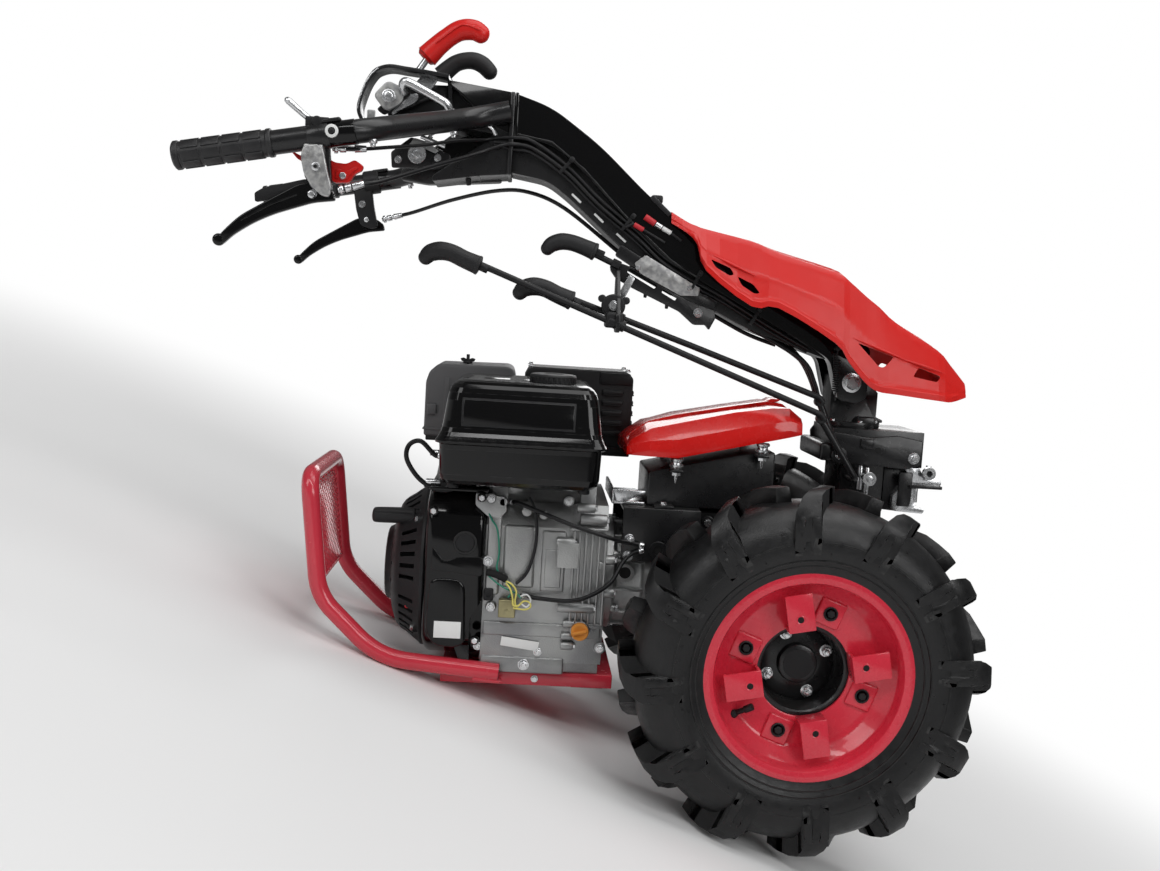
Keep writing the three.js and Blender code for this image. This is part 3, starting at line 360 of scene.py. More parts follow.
WIRE_GREEN = finish("green_wire", (0.02, 0.20, 0.13), 0.42, grain=800, depth=0.1)
WIRE_YELLOW = finish("yellow_wire", (0.70, 0.62, 0.16), 0.42, grain=800, depth=0.1)
WIRE_WHITE = finish("white_plastic", (0.74, 0.75, 0.74), 0.45, grain=800, depth=0.1)
WIRE_RED = finish("red_sleeve", (0.52, 0.02, 0.03), 0.4, grain=800, depth=0.1)
GUARD_RED = finish(
    "guard_enamel", (0.60, 0.035, 0.058), 0.22, grain=240, waves=1.3, depth=0.1, coat=0.55, shift=0.2,
    edge=0.15, slot="red_paint", shine=0.35)
# A near-black with no edge lightening; in holes, sockets, pipe mouths and behind slots and louvres it is
# painted shade.
DARK = finish(
    "deep_shadow_black", (0.004, 0.004, 0.004), 0.7, grain=600, depth=0.1, edge=0.0, slot="satin_black")


# ---------- shaping ----------
def shaped():
    return bmesh.new()


def mark(bm, faces, finishes, name):
    if name not in finishes:
        finishes.append(name)
    for face in faces:
        face.material_index = finishes.index(name)


class Piece:
    """One piece on the bench: a mesh being shaped, and the finishes used on it so far."""

    def __init__(self, name, body, *replaced, angle=32):
        self.name, self.body, self.replaced, self.angle = name, body, replaced, angle
        self.bm = bmesh.new()
        self.finishes = []

    def take(self, name, before):
        """The faces added since before was counted get the named finish."""
        self.bm.faces.ensure_lookup_table()
        faces = [self.bm.faces[i] for i in range(before, len(self.bm.faces))]
        mark(self.bm, faces, self.finishes, name)
        return faces

    def add(self, other, name=None, matrix=None):
        """Joins a loose bmesh in, moved by the matrix, with the named finish or else the piece's first."""
        before = len(self.bm.faces)
        spare = bpy.data.meshes.new("spare")
        if matrix is not None:
            other.transform(matrix)
            if matrix.determinant() < 0:
                bmesh.ops.reverse_faces(other, faces=other.faces)
        other.to_mesh(spare)
        other.free()
        self.bm.from_mesh(spare)
        bpy.data.meshes.remove(spare)
        return self.take(name or self.finishes[0], before)

    def done(self, keep_normals=False):
        bm = self.bm
        if not keep_normals:
            bmesh.ops.recalc_face_normals(bm, faces=bm.faces)
        bm.transform(LEVEL_MM)
        mesh = bpy.data.meshes.new(self.name)
        bm.to_mesh(mesh)
        bm.free()
        for name in self.finishes:
            mesh.materials.append(FINISHES[name][0])
        mesh.polygons.foreach_set("use_smooth", [True] * len(mesh.polygons))
        mesh.set_sharp_from_angle(angle=math.radians(self.angle))
        piece = bpy.data.objects.new(self.name, mesh)
        bpy.context.scene.collection.objects.link(piece)
        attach(piece, self.body)
        if self.replaced:
            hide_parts(*self.replaced)
        return piece


def rounded(bm, edges, width, segments=2):
    if width > 0 and edges:
        bmesh.ops.bevel(bm, geom=list(edges), offset=width, offset_type="OFFSET", segments=segments,
                        profile=0.5, affect="EDGES", clamp_overlap=True, material=-1)


def sharp_edges(bm, degrees=30):
    return [e for e in bm.edges if len(e.link_faces) == 2 and e.calc_face_angle(0) > math.radians(degrees)]


def bar(a, b, radius, end_radius=None, sides=24, edge=0.0, segments=2):
    """A round bar from a to b, its rims rounded by edge."""
    bm = shaped()
    a, b = Vector(a), Vector(b)
    turn = (b - a).to_track_quat("Z", "Y").to_matrix().to_4x4()
    bmesh.ops.create_cone(
        bm, cap_ends=True, segments=sides, radius1=radius,
        radius2=radius if end_radius is None else end_radius, depth=(b - a).length,
        matrix=Matrix.Translation((a + b) / 2) @ turn)
    rims = [e for e in bm.edges if any(len(f.verts) > 4 for f in e.link_faces)] if sides > 4 else bm.edges[:]
    rounded(bm, rims, edge, segments)
    return bm


def pin(x, z, y0, y1, radius, end_radius=None, **more):
    """A round bar that lies across the machine, from y0 to y1."""
    return bar((x, y0, z), (x, y1, z), radius, end_radius, **more)


def hexagon(a, b, radius, end_radius=None, edge=0.6):
    """A nut, or a bolt's head, from a to b."""
    return bar(a, b, radius, end_radius, sides=6, edge=edge, segments=1)


def turned(degrees, axis, at=(0, 0, 0)):
    """A turn about an axis through the origin, then a move to the place."""
    return Matrix.Translation(at) @ Matrix.Rotation(math.radians(degrees), 4, axis)


def block(x0, x1, y0, y1, z0, z1, edge=1.5, segments=2):
    bm = shaped()
    size = Matrix.Diagonal((abs(x1 - x0), abs(y1 - y0), abs(z1 - z0), 1))
    bmesh.ops.create_cube(
        bm, size=1, matrix=Matrix.Translation(((x0 + x1) / 2, (y0 + y1) / 2, (z0 + z1) / 2)) @ size)
    rounded(bm, bm.edges[:], edge, segments)
    return bm


def plate(outline, y0, y1, edge=1.0, segments=2, corner=0.0):
    """A side outline in X and Z, carried across from y0 to y1, its corners and edges rounded."""
    bm = shaped()
    face = bm.faces.new([bm.verts.new((x, y0, z)) for x, z in outline])
    if corner > 0:
        bmesh.ops.bevel(bm, geom=bm.verts[:], offset=corner, offset_type="OFFSET", segments=4, profile=0.5,
                        affect="VERTICES", clamp_overlap=True, material=-1)
        face = bm.faces[:][0] if len(bm.faces) == 1 else max(bm.faces, key=lambda f: f.calc_area())
    grown = bmesh.ops.extrude_face_region(bm, geom=[face])["geom"]
    bmesh.ops.translate(
        bm, verts=[v for v in grown if isinstance(v, bmesh.types.BMVert)], vec=(0, y1 - y0, 0))
    bmesh.ops.recalc_face_normals(bm, faces=bm.faces)
    rounded(bm, sharp_edges(bm, 40), edge, segments)
    return bm


def cross_plate(outline, x0, x1, edge=1.0, segments=2, corner=0.0):
    """A front outline in Y and Z, carried along from x0 to x1."""
    bm = plate(outline, x0, x1, edge, segments, corner)
    bm.transform(Matrix(((0, 1, 0, 0), (1, 0, 0, 0), (0, 0, 1, 0), (0, 0, 0, 1))))
    bmesh.ops.reverse_faces(bm, faces=bm.faces)
    return bm


def spun(profile, axis="Y", at=(0, 0, 0), steps=64):
    """A closed or axis-ended [radius, distance] profile, spun about the axis through at."""
    bm = shaped()
    rows = {"Y": lambda r, h: (r, h, 0), "X": lambda r, h: (h, r, 0), "Z": lambda r, h: (r, 0, h)}[axis]
    verts = [bm.verts.new(Vector(rows(r, h)) + Vector(at)) for r, h in profile]
    edges = [bm.edges.new((a, b)) for a, b in zip(verts, verts[1:])]
    around = {"X": (1, 0, 0), "Y": (0, 1, 0), "Z": (0, 0, 1)}[axis]
    bmesh.ops.spin(bm, geom=verts + edges, cent=at, axis=around, angle=2 * math.pi, steps=steps,
                   use_merge=True, use_duplicate=False)
    bmesh.ops.remove_doubles(bm, verts=bm.verts, dist=0.01)
    bmesh.ops.recalc_face_normals(bm, faces=bm.faces)
    return bm


def corner_arc(before, here, after, reach, steps):
    """Points round a corner, from reach before it to reach after it."""
    start = here + (before - here).normalized() * reach
    end = here + (after - here).normalized() * reach
    times = [i / steps for i in range(steps + 1)]
    return [start * (1 - t) ** 2 + here * 2 * t * (1 - t) + end * t ** 2 for t in times]


def smooth_step(before, a, b, after, t):
    """The value at t between a and b, on a smooth line that also heeds the values before and after."""
    return 0.5 * (2 * a + (b - before) * t + (2 * before - 5 * a + 4 * b - after) * t * t
                  + (3 * a - before - 3 * b + after) * t ** 3)


def bent(corners, bend, steps=6):
    """Points along straight runs with rounded corners; bend is one length, or a list with one for each."""
    corners = [Vector(c) for c in corners]
    bends = iter(bend if isinstance(bend, list) else [bend] * len(corners))
    points = [corners[0]]
    for before, here, after in zip(corners, corners[1:], corners[2:]):
        points += corner_arc(before, here, after, next(bends), steps)
    points.append(corners[-1])
    return points


def flowing(corners, steps=8):
    """Points along a smooth line through the corners."""
    corners = [Vector(c) for c in corners]
    points = []
    for i in range(len(corners) - 1):
        before, a, b = corners[max(i - 1, 0)], corners[i], corners[i + 1]
        after = corners[min(i + 2, len(corners) - 1)]
        points += [smooth_step(before, a, b, after, k / steps) for k in range(steps)]
    points.append(corners[-1])
    return points


def tube(points, radius, sides=14, ends=True, flat=1.0):
    """A tube swept along points; radius is a number or one for each point."""
    bm = shaped()
    points = [Vector(p) for p in points]
    radii = radius if isinstance(radius, (list, tuple)) else [radius] * len(points)
    ways = []
    for i, point in enumerate(points):
        before, after = points[max(i - 1, 0)], points[min(i + 1, len(points) - 1)]
        ways.append((after - before).normalized())
    turn = ways[0].to_track_quat("Z", "Y").to_matrix().to_4x4()
    places = []
    for i, (point, way) in enumerate(zip(points, ways)):
        if i:
            turn = ways[i - 1].rotation_difference(way).to_matrix().to_4x4() @ turn
        places.append(Matrix.Translation(point) @ turn @ Matrix.Diagonal((radii[i], radii[i] * flat, 1, 1)))
    bmesh.ops.create_circle(bm, cap_ends=ends, segments=sides, radius=1, matrix=places[0])
    ring = [e for e in bm.edges]
    for here, ahead in zip(places, places[1:]):
        grown = bmesh.ops.extrude_edge_only(bm, edges=ring)["geom"]
        fresh = [g for g in grown if isinstance(g, bmesh.types.BMVert)]
        ring = [g for g in grown if isinstance(g, bmesh.types.BMEdge) and all(v in fresh for v in g.verts)]
        bmesh.ops.transform(bm, matrix=ahead @ here.inverted(), verts=fresh)
    if ends:
        bmesh.ops.contextual_create(bm, geom=ring)
    bmesh.ops.recalc_face_normals(bm, faces=bm.faces)
    return bm


def bolt(piece, at, way, size=6.0, finish_name=None, washer=True, stud=0.0):
    """A hexagon bolt whose washer sits at the point and whose head stands along way."""
    name = finish_name or ZINC
    at, way = Vector(at), Vector(way).normalized()
    lift = 0.0
    if washer:
        piece.add(bar(at - way * 0.3, at + way * 1.6, size * 1.15, sides=24, edge=0.4, segments=1), name)
        lift = 1.5
    top = at + way * (lift + size * 0.62)
    piece.add(hexagon(at + way * lift, top, size * 0.9, edge=size * 0.1), name)
    if stud > 0:
        piece.add(bar(top - way * 0.5, top + way * stud, size * 0.5, sides=16, edge=0.6, segments=1), name)


def from_node(node, edge=1.2, merge=0.02, flat=1.0, segments=2, crease=25):
    """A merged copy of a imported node's mesh in level millimetres, with whole flats and rounded corners."""
    bm = shaped()
    bm.from_mesh(frame["nodes"][node].data)
    bm.transform(LEVEL_MM.inverted())
    bmesh.ops.remove_doubles(bm, verts=bm.verts, dist=merge)
    bmesh.ops.dissolve_limit(bm, angle_limit=math.radians(flat), verts=bm.verts, edges=bm.edges)
    rounded(bm, sharp_edges(bm, crease), edge, segments)
    return bm


def carried(node, name, finish_name, body, edge=1.2, angle=32, crease=25, **more):
    piece = Piece(name, body, node, angle=angle)
    piece.add(from_node(node, edge, crease=crease, **more), finish_name)
    return piece


# ---------- wheels ----------
LUGS_A_ROW = 12
LUG_RADIUS = 235
CARCASS = [(0, 228), (18, 227), (32, 222), (44, 213), (52, 203), (58, 190), (59.5, 176), (57, 163),
           (51.5, 151.5), (46.5, 143)]
LUG_TOP = [(0, 248.2), (18, 247.9), (33, 246), (46, 240), (56, 228), (62.5, 213), (64, 196), (62.8, 184),
           (58, 172), (50, 160)]


def along(curve, t):
    """The point at t, from 0 at the crown to 1 at the bead, on a curve of points."""
    place = max(0.0, min(0.9999, abs(t))) * (len(curve) - 1)
    i = int(place)
    part = place - i
    across = curve[i][0] * (1 - part) + curve[i + 1][0] * part
    return (math.copysign(across, t) if t else 0.0), curve[i][1] * (1 - part) + curve[i + 1][1] * part


def lug_strip(bm, stations, sink=2.5, draft=2.2):
    """A raised bar on the casing; a station is t, the place round the tyre, half width and height share."""
    last = None
    for t, round_mm, half, share in stations:
        (low_y, low_r), (top_y, top_r) = along(CARCASS, t), along(LUG_TOP, t)
        high_y, high_r = low_y + (top_y - low_y) * share, low_r + (top_r - low_r) * share
        corners = []
        for y, r, offset in ((low_y, low_r - sink, -half - draft), (high_y, high_r, -half + draft * 0.4),
                             (high_y, high_r, half - draft * 0.4), (low_y, low_r - sink, half + draft)):
            angle = (round_mm + offset) / LUG_RADIUS
            corners.append(Vector((r * math.cos(angle), y, r * math.sin(angle))))
        if last is None:
            last = bm.faces.new([bm.verts.new(c) for c in corners])
        else:
            grown = bmesh.ops.extrude_face_region(bm, geom=[last])["geom"]
            last = next(g for g in grown if isinstance(g, bmesh.types.BMFace) and len(g.verts) == 4)
            for vert, corner in zip(last.verts, corners):
                vert.co = corner


def lug():
    """One tread lug: a bar that sweeps from past the crown to the shoulder and forks down the sidewall."""
    bm = shaped()
    lug_strip(bm, [(-0.05, -34, 9, 1), (0.08, -24, 10, 1), (0.2, -12, 11.5, 1), (0.32, -2, 13.5, 1),
                   (0.43, 4, 17, 1), (0.50, 7, 19, 1), (0.56, 8, 20, 0.9), (0.60, 8, 19, 0.45)])
    lug_strip(bm, [(0.46, -2, 8, 0.94), (0.55, -3, 7.5, 0.94), (0.63, -5, 7, 0.9), (0.70, -7, 6.5, 0.8),
                   (0.745, -8, 6, 0.3)])
    lug_strip(bm, [(0.46, 17, 8, 0.94), (0.55, 19, 7.5, 0.94), (0.63, 22, 7, 0.9), (0.70, 25, 6.5, 0.8),
                   (0.745, 26, 6, 0.3)])
    bmesh.ops.recalc_face_normals(bm, faces=bm.faces)
    rounded(bm, sharp_edges(bm, 35), 1.6, 2)
    return bm


def tyre(name, side):
    piece = Piece(f"lug_tyre_{name}", f"wheel_{name}", f"tyre_{name}", angle=38)
    inner = [(y * 0.86, r - 9) for y, r in CARCASS[:8]] + [(44, 150), (43, 128.5)]
    half = CARCASS + [(45, 138), (42.8, 128.3)]
    outer_wall = [(r, -y) for y, r in reversed(half[1:])] + [(r, y) for y, r in half]
    inner_wall = [(r, y) for y, r in reversed(inner[:-1])] + [(r, -y) for y, r in inner[1:-1]]
    profile = outer_wall + inner_wall
    centre = Matrix.Translation((0, side * TRACK / 2, 0))
    outward = Matrix.Diagonal((1, side, 1, 1))
    piece.add(spun(profile + profile[:1], steps=120), TYRE, centre @ outward)
    for y, r in ((58.4, 181.5), (54.6, 157.5), (50.4, 150)):
        rib = spun([(r - 1.6, y - 1.5), (r - 0.8, y + 1.1), (r + 0.8, y + 1.1), (r + 1.6, y - 1.5),
                    (r - 1.6, y - 1.5)], steps=120)
        piece.add(rib, TYRE, centre @ outward)
    whole = lug()
    form = bpy.data.meshes.new("one_lug")
    whole.to_mesh(form)
    whole.free()
    for row in (1, -1):
        for i in range(LUGS_A_ROW):
            bm = shaped()
            bm.from_mesh(form)
            turn = 2 * math.pi * (i + (0.5 if row < 0 else 0.0)) / LUGS_A_ROW + math.radians(4)
            piece.add(bm, TYRE, centre @ Matrix.Rotation(-turn, 4, "Y")
                      @ Matrix.Diagonal((1, row * side, 1, 1)))
    bpy.data.meshes.remove(form)
    whiskers = random.Random(7)
    for i in range(26):
        angle = 2 * math.pi * (i + whiskers.random() * 0.5) / 26
        y, r = along(CARCASS, 0.66 + 0.1 * whiskers.random())
        foot = Vector((r * math.cos(angle), y, r * math.sin(angle)))
        tip = foot + Vector((0, 3.5, 0)) + Vector((math.cos(angle), 0, math.sin(angle))) * 1.0
        piece.add(bar(foot, tip, 0.7, 0.3, sides=6), TYRE, centre @ outward)
    piece.done()


def rim(name, side):
    piece = Piece(f"pressed_rim_{name}", f"wheel_{name}", f"rim_{name}", angle=40)
    well = [(139.4, 45.2), (139.9, 44), (139.4, 42.9), (134, 42.8), (127.4, 41.4), (126.9, 38), (126.8, 30),
            (124, 27), (114, 19.5), (112, 17)]
    centre = Matrix.Translation((0, side * TRACK / 2, 0)) @ Matrix.Diagonal((1, side, 1, 1))
    piece.add(spun([
        *well, *[(r, -y) for r, y in reversed(well)], (135, -45.8), (127, -44.6), (123.9, -42), (123.8, -29),
        (121, -25), (110.6, -17.4), (108.9, -14), (108.8, 1.2), (106, 4), (100, 5), (64, 5), (62.2, 5.8),
        (62, 7.5), (62.2, 9.2), (64, 10), (98, 10), (103, 11.5), (106.5, 14), (110.6, 18), (121, 25.2),
        (123.8, 29), (123.9, 41), (126, 44.2), (131, 45.7), (135, 45.9), (139.4, 45.2)], steps=112),
        RIM_RED, centre)
    for i in range(4):
        tab = turned(-11 - 90 * i, "Y")
        bracket = plate([(60, 8), (60, 38), (110, 38), (110, 34), (64.5, 34), (64.5, 8)], -18, 18, edge=1.2)
        piece.add(bracket, RIM_RED, centre @ tab @ LAID)
        # A near-black disc in the grommet is painted shade in the hole.
        piece.add(pin(77, 1, 37.2, 38.25, 4.4, sides=20), DARK, centre @ tab)
        piece.add(spun([(4.3, 37.6), (6.2, 37.6), (6.2, 38.6), (5.2, 38.9), (4.3, 38.5), (4.3, 37.6)],
                       at=(77, 0, 1), steps=20), RIM_RED, centre @ tab)
        pad = turned(-70 - 90 * i, "Y")
        piece.add(block(67, 103, 9, 14.2, -18, 18, edge=2.6, segments=3), RIM_RED, centre @ pad)
        piece.add(spun([(0, 13.4), (8.3, 13.4), (9.6, 14.6), (9.6, 16.4), (8.4, 17.2), (7, 16.2), (6.4, 14.2),
                        (0, 14.2)], at=(85, 0, 0), steps=28), SATIN, centre @ pad)
        piece.add(hexagon((85, 13.8, 0), (85, 18.6, 0), 5.4, edge=0.7), SATIN, centre @ pad)
    stem = turned(-214, "Y")
    piece.add(bar((108, 15, 0), (84, 27, 0), 3.6, sides=18, edge=0.8), SATIN, centre @ stem)
    piece.add(bar((93, 22.5, 0), (82, 28, 0), 4.9, sides=18, edge=1.0), SATIN, centre @ stem)
    piece.add(bar((110, 14, 0), (104, 17, 0), 6.5, 4.5, sides=18, edge=0.8), SATIN, centre @ stem)
    weld = random.Random(11)
    for i in range(4):
        for k in range(9):
            turn = turned(-11 - 90 * i, "Y")
            bead = shaped()
            place = Matrix.Translation((107.4, 34.2 + weld.random() * 0.5, -16 + 4 * k))
            bmesh.ops.create_icosphere(bead, subdivisions=1, radius=2.5 + weld.random() * 0.6, matrix=place)
            piece.add(bead, RIM_RED, centre @ turn)
    piece.done()


def hub(name, side):
    piece = Piece(f"wheel_hub_{name}", f"wheel_{name}", f"hub_{name}", angle=34)
    centre = Matrix.Translation((0, side * TRACK / 2, 0)) @ Matrix.Diagonal((1, side, 1, 1))
    piece.add(spun(
        [(0, -20.8), (24, -20.8), (26, -22), (27, -25), (27.6, -31), (49, -32.8), (51, -34.4), (51, -38.8),
        (55.9, -39.2), (55.9, 3), (58, 4.6), (99, 4.6), (99.8, 2), (99, -1.2), (62, -1.2), (60.2, -3),
        (60, -44), (58, -45.4), (40, -45.4), (38, -47), (38, -63), (15, -63.2), (15, -236), (13, -238),
        (0, -238)], steps=72), PAINT, centre)
    piece.add(spun(
        [(0, -20.5), (20.5, -20.5), (21.4, -21.5), (21.4, -22.4), (0, -22.4)], steps=40), SATIN, centre)
    for i in range(4):
        turn = turned(-24 - 90 * i, "Y")
        for made in (pin(43, 0, -33.4, -31.4, 8.6, sides=28, edge=0.4),
                     hexagon((43, -31.6, 0), (43, -24.5, 0), 6.6, edge=0.7),
                     pin(43, 0, -25, -19.6, 3.7, sides=18, edge=0.8)):
            piece.add(made, ZINC, centre @ turn)
    piece.done()


def wheels():
    for name, side in SIDES:
        tyre(name, side)
        rim(name, side)
        hub(name, side)


# ---------- more shaping ----------
def eased(outline, bend=6.0, steps=4):
    """The outline with each corner rounded; a third number on a corner is its own bend."""
    points = []
    for i, corner in enumerate(outline):
        here = Vector(corner[:2])
        before, after = Vector(outline[i - 1][:2]), Vector(outline[(i + 1) % len(outline)][:2])
        reach = min(corner[2] if len(corner) > 2 else bend, 0.45 * (before - here).length,
                    0.45 * (after - here).length)
        points += [tuple(point) for point in corner_arc(before, here, after, reach, steps)]
    return points


def lofted(loops):
    """A closed skin through loops of points, each loop with the same count."""
    bm = shaped()
    last = bm.faces.new([bm.verts.new(p) for p in loops[0]])
    for loop in loops[1:]:
        grown = bmesh.ops.extrude_face_region(bm, geom=[last])["geom"]
        last = next(g for g in grown if isinstance(g, bmesh.types.BMFace))
        for vert, point in zip(last.verts, loop):
            vert.co = point
    bmesh.ops.recalc_face_normals(bm, faces=bm.faces)
    return bm


def rounded_box_loop(x0, x1, y0, y1, corner, z, steps=5):
    points = []
    for cx, cy, start in ((x1 - corner, y1 - corner, 0), (x0 + corner, y1 - corner, 90),
                          (x0 + corner, y0 + corner, 180), (x1 - corner, y0 + corner, 270)):
        for i in range(steps + 1):
            turn = math.radians(start + 90 * i / steps)
            points.append(Vector((cx + corner * math.cos(turn), cy + corner * math.sin(turn), z)))
    return points


def carved(bm, *cutters):
    """The shape less the cutters, which are all closed."""
    held = []
    for i, shape in enumerate((bm, *cutters)):
        mesh = bpy.data.meshes.new(f"held_{i}")
        shape.to_mesh(mesh)
        shape.free()
        held.append(bpy.data.objects.new(f"held_{i}", mesh))
        bpy.context.scene.collection.objects.link(held[-1])
    for tool in held[1:]:
        cut = held[0].modifiers.new("cut", "BOOLEAN")
        cut.operation = "DIFFERENCE"
        cut.solver = "EXACT"
        cut.object = tool
    left = shaped()
    left.from_object(held[0], bpy.context.evaluated_depsgraph_get())
    for item in held:
        bpy.data.meshes.remove(item.data)
    return left


def pistol_knob(points, y, radii, flat=0.86):
    """A hand knob bent like a pistol grip, with a rounded tip and a rolled foot."""
    path = flowing([(x, y, z) for x, z in points], steps=6)
    spread = len(path) - 1
    wide = []
    for i in range(len(path)):
        place = i / spread * (len(radii) - 1)
        k = min(int(place), len(radii) - 2)
        wide.append(radii[k] * (1 - place + k) + radii[k + 1] * (place - k))
    tip = (path[0] - path[1]).normalized()
    start = path[0]
    nose = [start + tip * wide[0] * math.sin(math.radians(a)) for a in (78, 60, 40, 20)]
    nose_wide = [wide[0] * math.cos(math.radians(a)) for a in (78, 60, 40, 20)]
    return tube(nose + path, nose_wide + wide, sides=28, flat=flat)


def helix(foot, top, radius, turns, wire):
    foot, top = Vector(foot), Vector(top)
    way = top - foot
    turn = way.to_track_quat("Z", "Y").to_matrix()
    points = []
    for i in range(turns * 12 + 1):
        angle = 2 * math.pi * i / 12
        points.append(foot + way * (i / (turns * 12)) + turn
                      @ Vector((radius * math.cos(angle), radius * math.sin(angle), 0)))
    return tube(points, wire, sides=8)


def ring(at, way, inner, outer, thick, sides=32):
    """A flat washer at the point, facing along way."""
    at, way = Vector(at), Vector(way).normalized()
    bm = spun([(inner, 0), (outer - 0.4, 0), (outer, 0.4), (outer, thick - 0.4), (outer - 0.4, thick),
               (inner, thick), (inner, 0)], axis="Z", steps=sides)
    bm.transform(Matrix.Translation(at) @ way.to_track_quat("Z", "Y").to_matrix().to_4x4())
    return bm


# ---------- gearbox, saddle and cover ----------
def housings():
    case = carried("transmission_housing", "gearbox_case", PAINT, "root", edge=4, segments=3)
    for x, z in ((-160, 150), (-110, 160), (-50, 160), (10, 160), (70, 160), (120, 150), (130, 60), (135, 0),
                 (100, -50), (20, -68), (-60, -68), (-130, -56), (-175, -20), (-178, 60)):
        for side in (NEAR, FAR):
            case.add(pin(x, z, side * 54, side * 58.5, 10, sides=24, edge=1.2))
            bolt(case, (x, side * 58.5, z), (0, side, 0), 5.0)
    for x in (-150, -90, -30, 30, 90):
        case.add(block(x - 3, x + 3, -57.5, 57.5, -70, 150, edge=1.5))
    case.done()
    for name, side in SIDES:
        turn = Matrix.Diagonal((1, side, 1, 1))
        axle = Piece(f"axle_case_{name}", "root", f"axle_housing_{name}", angle=38)
        axle.add(spun(
            [(0, 55.3), (68, 55.3), (70, 57), (70, 64), (68.5, 66), (46, 68.5), (38, 73), (36, 80), (36, 143),
            (38, 149), (44.5, 152), (46, 153.5), (46, 170), (44.8, 171.6), (22, 171.7), (20, 169),
            (15.5, 169), (15.5, 110), (0, 110)], steps=56), PAINT, turn)
        for i in range(8):
            arm = turned(22.5 + 45 * i, "Y")
            rib = plate([(34, 0), (64, 0), (37, 62), (34, 62)], -2.5, 2.5, edge=0.8)
            axle.add(rib, PAINT, turn @ arm @ Matrix.Translation((0, 66, 0)) @ LAID)
            for made in (pin(58, 0, 65, 67.6, 7, sides=20, edge=0.4),
                         hexagon((58, 67, 0), (58, 71.5, 0), 5.4)):
                axle.add(made, ZINC, turn @ turned(45 * i, "Y"))
        axle.done()
    saddle = carried("saddle_bracket", "saddle_frame", PAINT, "root", edge=1.4)
    for side in (NEAR, FAR):
        for x, z in ((-227, 136), (-228, 112), (-142, 136), (-142, 112)):
            bolt(saddle, (x, side * 94, z), (0, side, 0), 6.6, stud=2.5)
        saddle.add(ring((-185, side * 94.2, 122), (0, side, 0), 7, 13, 2.4))
        # A near-black disc inside the washer is painted shade in the hole.
        saddle.add(pin(-185, 122, side * 93, side * 94.3, 7.2), DARK)
    saddle.add(block(-252, -206, -70, 70, 183, 187.5, edge=1.2), ZINC)
    saddle.add(block(-254, -250, -70, 70, 183, 204, edge=1.2), ZINC)
    saddle.add(plate(
        [(-248, 187), (-236, 187), (-206, 200), (-206, 204), (-252, 204)], -72, -68, edge=0.8), ZINC)
    saddle.done()
    clutch = Piece("clutch_case", "root", "clutch_housing", angle=38)
    clutch.add(spun(
        [(0, -258.7), (83.6, -258.7), (85, -257.4), (85, -246.4), (83.5, -245), (79, -243.5), (76, -240),
        (76, -208), (78, -204), (80.6, -202), (82, -200.6), (82, -190.5), (80.8, -189.4), (0, -189.4)],
        axis="X", at=(0, 0, 0), steps=64), CAST, Matrix.Translation((0, 0, 70)))
    for i in range(12):
        turn = turned(30 * i + 8, "X", (0, 0, 70))
        clutch.add(block(-246, -201, -2.4, 2.4, 74, 81.2, edge=1.0), CAST, turn)
        if i % 2 == 0:
            clutch.add(bar((-247, 9, 80), (-239, 9, 80), 6.5, sides=18, edge=1.0), CAST, turn)
            clutch.add(hexagon((-240, 9, 80), (-235, 9, 80), 5.2), ZINC, turn)
    clutch.add(ring((-229, -76.5, 84), NEARWARD, 8.6, 13.5, 5))
    # A near-black disc inside the washer is painted shade in the hole.
    clutch.add(pin(-229, 84, -75, -80.2, 8.7), DARK)
    clutch.done()
    riser = Piece("riser", "root", "riser_box")
    riser.add(plate(
        [(-203, 182.6), (-203, 232), (-62, 266), (-20, 270), (-20, 182.6)], -70, 70, edge=2.2, corner=3),
        PAINT)
    for x in (-165, -42):
        low = 257 + max(0, x - 6 + 165) * 0.24
        for side in (NEAR, FAR):
            y = side * 82
            riser.add(block(x - 9, x + 9, min(side * 66, y + side * 9), max(side * 66, y + side * 9),
                            low - 22, low - 18, edge=1.0))
            riser.add(spun(
                [(0, low - 1), (9, low - 1), (10, low - 2.5), (10, low - 5), (8, low - 6), (7.4, low - 8),
                (8, low - 10), (10, low - 11), (10, low - 13.5), (9, low - 15), (7, low - 18), (0, low - 18)],
                axis="Z", at=(0, 0, 0), steps=28), ZINC, Matrix.Translation((x, y, 0)))
            riser.add(hexagon((x, y, low - 22), (x, y, low - 27), 6.6), ZINC)
            riser.add(bar((x, y, low - 26), (x, y, low - 38), 3.6, 0.8, sides=18), ZINC)
    for x in (-180, -40):
        riser.add(block(x - 14, x + 14, -94, 94, 182.7, 186.5, edge=0.8))
        for side in (NEAR, FAR):
            bolt(riser, (x, side * 82, 186.5), (0, 0, 1), 5.0)
    riser.done()
    top_cover()
    drive_end()


